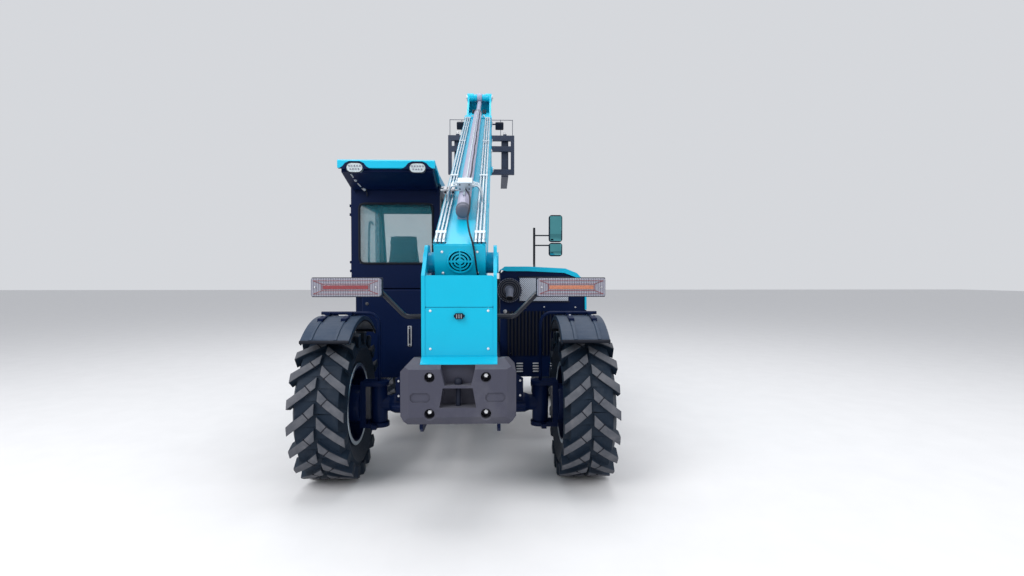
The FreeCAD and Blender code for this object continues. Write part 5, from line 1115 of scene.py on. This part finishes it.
def exhaust_disc(piece, back, y, z):
    """The ringed disc behind the exhaust, with its fins and the stub's mouth."""
    face = high("exhaust_outlet").x - 0.034
    middle = Vector((face, y, z))
    piece.lathe([(0.048, 0.003), (0.104, 0.003), (0.119, -0.003), (0.1195, -0.036)], middle,
                BACKWARD, 40)
    for radius in (0.100, 0.080, 0.060):
        piece.lathe([(radius - 0.006, 0.003), (radius - 0.004, 0.007), (radius, 0.007),
                     (radius + 0.002, 0.003)], middle, BACKWARD, 40, "dark_steel")
    for turn in turns(28):
        out = Vector((0, math.cos(turn), math.sin(turn)))
        piece.rod(middle + out * 0.108, middle + out * 0.1245, 0.0035, 6)
    down = Vector((-1, 0, -1)).normalized()
    mouth = Vector((back - 0.028, y, z)) + down * 0.112
    piece.lathe([(0.0, 0.0006), (0.029, 0.0006)], mouth, down, 28, "soft_rubber")
    piece.lathe([(0.029, 0.0004), (0.031, 0.003), (0.0355, 0.003), (0.0365, -0.006)], mouth,
                down, 28, "dark_steel")


def dress_bay():
    """Disc, mesh panel, screws, pleated cover and louvres of the bay's rear."""
    back, inner = low("engine_tray").x, high("engine_tray").y
    piece = Piece("bay_rear_dress", "black_plastic", "dark_steel", "soft_rubber", "bolt_steel",
                  "mesh_panel")
    exhaust_disc(piece, back, -0.425, 1.49)
    piece.box((back - 0.007, -1.00, 1.385), (back + 0.002, -0.525, 1.61), "mesh_panel", 0.003)
    for z in (1.378, 1.617):
        piece.box((back - 0.010, -1.015, z - 0.007), (back + 0.002, -0.510, z + 0.007),
                  "black_plastic", 0.003)
    piece.box((back + 0.004, inner - 0.006, 0.84), (back + 0.016, inner + 0.045, 1.60),
              "soft_rubber", 0.003)
    for y, z, radius in ((-0.58, 1.318, 0.006), (-0.765, 1.325, 0.006), (-1.07, 1.322, 0.006),
                         (-0.384, 1.283, 0.014), (-0.447, 0.875, 0.006), (-0.755, 0.875, 0.006)):
        piece.screw((back - 0.001, y, z), BACKWARD, radius, "bolt_steel")
    pleat = ((0.004, 1.278), (0.012, 1.25), (0.012, 0.89), (0.004, 0.862))
    for number in range(22):
        y = -1.13 + 0.034 * number
        piece.tube([(back - out, y, z) for out, z in pleat], 0.009, 8, "soft_rubber", 2)
    for y, number in pairs((-0.526, -0.686, -0.856), range(4)):
        z = 0.69 + 0.026 * number
        piece.box((back - 0.010, y - 0.0325, z), (back + 0.001, y + 0.0325, z + 0.013),
                  "bolt_steel", 0.003, about_y(18))
    piece.done("machine")


def dress_hood():
    """Latches and louvres of the hood's lid."""
    piece = Piece("hood_fittings", "black_plastic", "bolt_steel", "dark_steel")
    outer = low("hood_lid").y
    for x in (-1.45, -0.68):
        piece.box((x - 0.04, outer - 0.012, 1.33), (x + 0.04, outer + 0.004, 1.37),
                  "black_plastic", 0.005)
    for number in range(9):
        x = -1.3 + 0.055 * number
        piece.box((x, outer - 0.006, 1.37), (x + 0.034, outer + 0.006, 1.48), "black_plastic",
                  0.004)
    piece.done("hood")


def dress_underside():
    """Level gauge, cap and screws of the tank, and the bars of the step."""
    back, top, gauge_y = low("hydraulic_tank").x, high("hydraulic_tank").z, 0.541
    piece = Piece("tank_fittings", "silver_paint", "red_lens", "black_plastic", "dark_steel")
    piece.box((back - 0.012, gauge_y - 0.0195, 0.946), (back + 0.002, gauge_y + 0.0195, 1.145),
              "silver_paint", 0.006)
    piece.box((back - 0.015, gauge_y - 0.010, 0.972), (back - 0.010, gauge_y + 0.010, 1.119),
              "black_plastic", 0.002)
    for z in (0.958, 1.133):
        piece.hexagon((back - 0.012, gauge_y, z), BACKWARD, 0.009, 0.008, "dark_steel")
    piece.lathe([(0.0, 0.035), (0.04, 0.035), (0.045, 0.028), (0.045, 0.0)],
                (back + 0.1, 0.42, top), UPWARD, 28, "black_plastic")
    for y, z in pairs((0.34, 0.95), (0.70, 1.36)):
        piece.screw((back - 0.001, y, z), BACKWARD, 0.012, "dark_steel")
    piece.done("machine")
    step = Piece("step_tread_bars", "dark_steel")
    for number in range(9):
        y = 0.945 + 0.022 * number
        step.box((-1.33, y, 0.480), (-0.66, y + 0.008, 0.488), "dark_steel", 0.002)
    step.done("machine")


def dress_seat():
    """The seat's two padded cushions; a channel is (axis, place, depth, width)."""
    cushion("seat_pad", "seat_cushion", 0.011, ((1, 0.13, 0.007, 0.008), (0, 0.19, 0.004, 0.006)))
    cushion("back_pad", "seat_back", 0.009, ((1, 0.11, 0.007, 0.008),))


def dress_controls():
    """Armrest, lever, screen, pedals and belt buckle in the cab."""
    a, b = low("seat_cushion"), high("seat_cushion")
    piece = Piece("cab_controls", "black_plastic", "seat_leather", "bolt_steel", "webbing",
                  "red_lens", "white_lens")
    y = a.y - 0.045
    piece.box((a.x - 0.02, y - 0.05, b.z + 0.13), (a.x + 0.34, y + 0.03, b.z + 0.19),
              "seat_leather", 0.02)
    piece.box((a.x + 0.02, y - 0.03, b.z - 0.12), (a.x + 0.09, y + 0.01, b.z + 0.14),
              "black_plastic", 0.01)
    stick = Vector((a.x + 0.30, y - 0.01, b.z + 0.19))
    piece.tube([stick, stick + Vector((0.01, 0, 0.06)), stick + Vector((0.03, 0, 0.10))], 0.012)
    piece.lathe([(0.0, 0.075), (0.018, 0.07), (0.024, 0.05), (0.022, 0.01), (0.012, 0.0)],
                stick + Vector((0.03, 0, 0.09)), (0.25, 0, 1), 20)
    piece.box((-0.57, 0.50, 1.50), (-0.53, 0.78, 1.62), "black_plastic", 0.012)
    piece.box((-0.572, 0.52, 1.515), (-0.568, 0.76, 1.605), "white_lens", 0.001)
    for y in (0.48, 0.80):
        piece.box((-0.66, y - 0.045, 0.90), (-0.64, y + 0.045, 1.02), "black_plastic", 0.006,
                  about_y(-28))
    piece.tube([(a.x + 0.02, b.y + 0.012, b.z - 0.05), (a.x, b.y + 0.018, b.z + 0.02),
                (a.x - 0.05, b.y + 0.02, b.z + 0.05)], 0.02, 12, "webbing")
    piece.done("machine")


def cushion(name, node, shrink, channels):
    """A padded cover in place of a plain block: remeshed, blown up by cloth and sewn."""
    source = NODES[node]
    middle, size = centre(node), high(node) - low(node)
    piece = Piece(name, "seat_fabric", "seat_leather")
    piece.mesh.from_mesh(bpy.data.meshes.new_from_object(source))
    for vert in piece.mesh.verts:
        for axis in range(3):
            share = 1 - 2 * shrink / size[axis]
            vert.co[axis] = middle[axis] + (vert.co[axis] - middle[axis]) * share
    item = piece.done("machine", (node,))
    item.matrix_world = source.matrix_world
    remesh = item.modifiers.new("even cloth", "REMESH")
    remesh.mode = "VOXEL"
    remesh.voxel_size = 0.008
    settle(item)
    blow_up(item, 0.020)
    sew(item.data, middle, channels)
    finer = item.modifiers.new("finer cover", "SUBSURF")
    finer.levels = 1
    finer.render_levels = 1
    item.data.materials.clear()
    for name in piece.finishes:
        item.data.materials.append(material_of(name))
    item.data.polygons.foreach_set("use_smooth", [True] * len(item.data.polygons))


def settle(item):
    """Keep the form that an object's modifiers give, without them."""
    bpy.context.view_layer.update()
    graph = bpy.context.evaluated_depsgraph_get()
    shaped = bpy.data.meshes.new_from_object(item.evaluated_get(graph))
    item.modifiers.clear()
    item.data = shaped


def blow_up(item, most):
    """Fill a cover with air as cloth, no point moving further than a limit."""
    rest = [vert.co.copy() for vert in item.data.vertices]
    cloth = item.modifiers.new("air", "CLOTH")
    cloth.settings.use_pressure = True
    cloth.settings.uniform_pressure_force = 4.0
    cloth.settings.effector_weights.gravity = 0.0
    cloth.settings.quality = 4
    scene = bpy.context.scene
    for number in range(1, 21):
        scene.frame_set(number)
    settle(item)
    for vert, spot in zip(item.data.vertices, rest):
        move = vert.co - spot
        if move.length > most:
            vert.co = spot + move.normalized() * most
    scene.frame_set(1)


def sew(data, middle, channels):
    """Draw a cover in along its sewn lines."""
    for vert in data.vertices:
        for axis, place, depth, width in channels:
            away = abs(vert.co[axis] - middle[axis]) - place
            inward = middle - vert.co
            inward[axis] = 0.0
            vert.co += inward.normalized() * depth * math.exp(-(away / width) ** 2)


def build_stage():
    """Floor, soft lamps, pale world and the camera of the photograph."""
    scene = bpy.context.scene
    scene.view_settings.view_transform = "Standard"
    floor = bpy.data.meshes.new("studio_floor")
    reach = 60.0
    floor.from_pydata([(-reach, -reach, 0), (reach, -reach, 0), (reach, reach, 0),
                       (-reach, reach, 0)], [], [(0, 1, 2, 3)])
    ground = bpy.data.objects.new("studio_floor", floor)
    scene.collection.objects.link(ground)
    item = Finish("floor_grey")
    floor.materials.append(item.wear(Roughness=0.9, Base_Color=item.mixed(
        item.noise(3.0, 4.0), (0.66, 0.66, 0.67), (0.72, 0.72, 0.73))))
    world = bpy.data.worlds.new("studio_world")
    scene.world = world
    world.use_nodes = True
    sky = world.node_tree.nodes["Background"]
    sky.inputs["Color"].default_value = (0.86, 0.88, 0.92, 1)
    sky.inputs["Strength"].default_value = 0.78
    for name, place, aim, energy, size in (
            ("key_lamp", (-9, 6, 8), (-1, 0, 1.4), 760.0, 6.0),
            ("fill_lamp", (-8, -8, 6), (-1, 0, 1.4), 380.0, 7.0),
            ("top_lamp", (0, 0, 10), (0, 0, 1), 500.0, 8.0)):
        lamp = bpy.data.lights.new(name, "AREA")
        lamp.energy = energy
        lamp.size = size
        stand(name, lamp, Vector(place), Vector(aim) - Vector(place))
    yaw, pitch = math.radians(-1.75), math.radians(-1.2)
    way = Vector((math.cos(pitch) * math.cos(yaw), math.cos(pitch) * math.sin(yaw),
                  math.sin(pitch)))
    camera = bpy.data.cameras.new("photo_camera")
    focal_px, frame_px, sensor = 535.0, 1024.0, 36.0
    camera.sensor_width = sensor
    camera.lens = focal_px / frame_px * sensor
    camera.clip_start = 0.05
    camera.clip_end = 200.0
    scene.camera = stand("photo_camera", camera, (-6.91, -0.292, 1.62), way)


def stand(name, data, place, way):
    """A lamp or camera at a place that looks a given way."""
    item = bpy.data.objects.new(name, data)
    item.location = place
    item.rotation_euler = way.to_track_quat("-Z", "Y").to_euler()
    bpy.context.scene.collection.objects.link(item)
    return item


class TelehandlerStep:
    """Shared settings of the operators."""

    bl_options = {"REGISTER", "UNDO"}
    work = ()

    def execute(self, context):
        for function in self.work:
            function()
        return {"FINISHED"}


class TELEHANDLER_OT_stage(TelehandlerStep, bpy.types.Operator):
    """Set up the floor, the lamps and the camera"""

    bl_idname = "telehandler.stage"
    bl_label = "Stage"
    work = (build_stage,)


class TELEHANDLER_OT_nodes(TelehandlerStep, bpy.types.Operator):
    """Give the construction its finishes"""

    bl_idname = "telehandler.nodes"
    bl_label = "Construction"
    work = (dress_nodes,)


class TELEHANDLER_OT_wheels(TelehandlerStep, bpy.types.Operator):
    """Dress the wheels, mudguards and axles"""

    bl_idname = "telehandler.wheels"
    bl_label = "Wheels and axles"
    work = (dress_wheels, dress_treads, dress_guards, dress_axles, dress_gussets)


class TELEHANDLER_OT_rear(TelehandlerStep, bpy.types.Operator):
    """Dress the tower, the counterweight and the tail lamps"""

    bl_idname = "telehandler.rear"
    bl_label = "Rear"
    work = (dress_cover, dress_hitch, dress_weight, dress_tail_lamps)


class TELEHANDLER_OT_boom(TelehandlerStep, bpy.types.Operator):
    """Dress the boom, its head and the fork carriage"""

    bl_idname = "telehandler.boom"
    bl_label = "Boom"
    work = (dress_end_plate, dress_elbows, dress_boom_bolts, dress_valve, dress_ram, dress_head,
            dress_head_lamps, dress_carriage)


class TELEHANDLER_OT_cab(TelehandlerStep, bpy.types.Operator):
    """Dress the cab outside and inside"""

    bl_idname = "telehandler.cab"
    bl_label = "Cab"
    work = (dress_cab, dress_door, dress_roof, dress_mirror, dress_seat, dress_controls)


class TELEHANDLER_OT_bay(TelehandlerStep, bpy.types.Operator):
    """Dress the engine bay, the tank and the step"""

    bl_idname = "telehandler.bay"
    bl_label = "Engine bay and tank"
    work = (dress_bay, dress_hood, dress_underside)


OPERATORS = (TELEHANDLER_OT_stage, TELEHANDLER_OT_nodes, TELEHANDLER_OT_wheels,
             TELEHANDLER_OT_rear, TELEHANDLER_OT_boom, TELEHANDLER_OT_cab,
             TELEHANDLER_OT_bay)


class TELEHANDLER_PT_panel(bpy.types.Panel):
    """Lists the steps in the sidebar"""

    bl_label = "Telehandler"
    bl_idname = "TELEHANDLER_PT_panel"
    bl_space_type = "VIEW_3D"
    bl_region_type = "UI"
    bl_category = "Telehandler"

    def draw(self, context):
        for group in (context.scene.telehandler_colours, context.scene.telehandler_sizes):
            for name in group.bl_rna.properties.keys():
                if name not in ("rna_type", "name"):
                    self.layout.prop(group, name)
        for operator in OPERATORS:
            self.layout.operator(operator.bl_idname)


CLASSES = (TelehandlerColours, TelehandlerSizes, TELEHANDLER_PT_panel) + OPERATORS


def register():
    for item in CLASSES:
        bpy.utils.register_class(item)
    bpy.types.Scene.telehandler_colours = bpy.props.PointerProperty(type=TelehandlerColours)
    bpy.types.Scene.telehandler_sizes = bpy.props.PointerProperty(type=TelehandlerSizes)


def unregister():
    del bpy.types.Scene.telehandler_sizes
    del bpy.types.Scene.telehandler_colours
    for item in reversed(CLASSES):
        bpy.utils.unregister_class(item)


def main():
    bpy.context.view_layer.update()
    register()
    for operator in OPERATORS:
        group, name = operator.bl_idname.split(".")
        getattr(getattr(bpy.ops, group), name)()


if __name__ == "__main__":
    main()
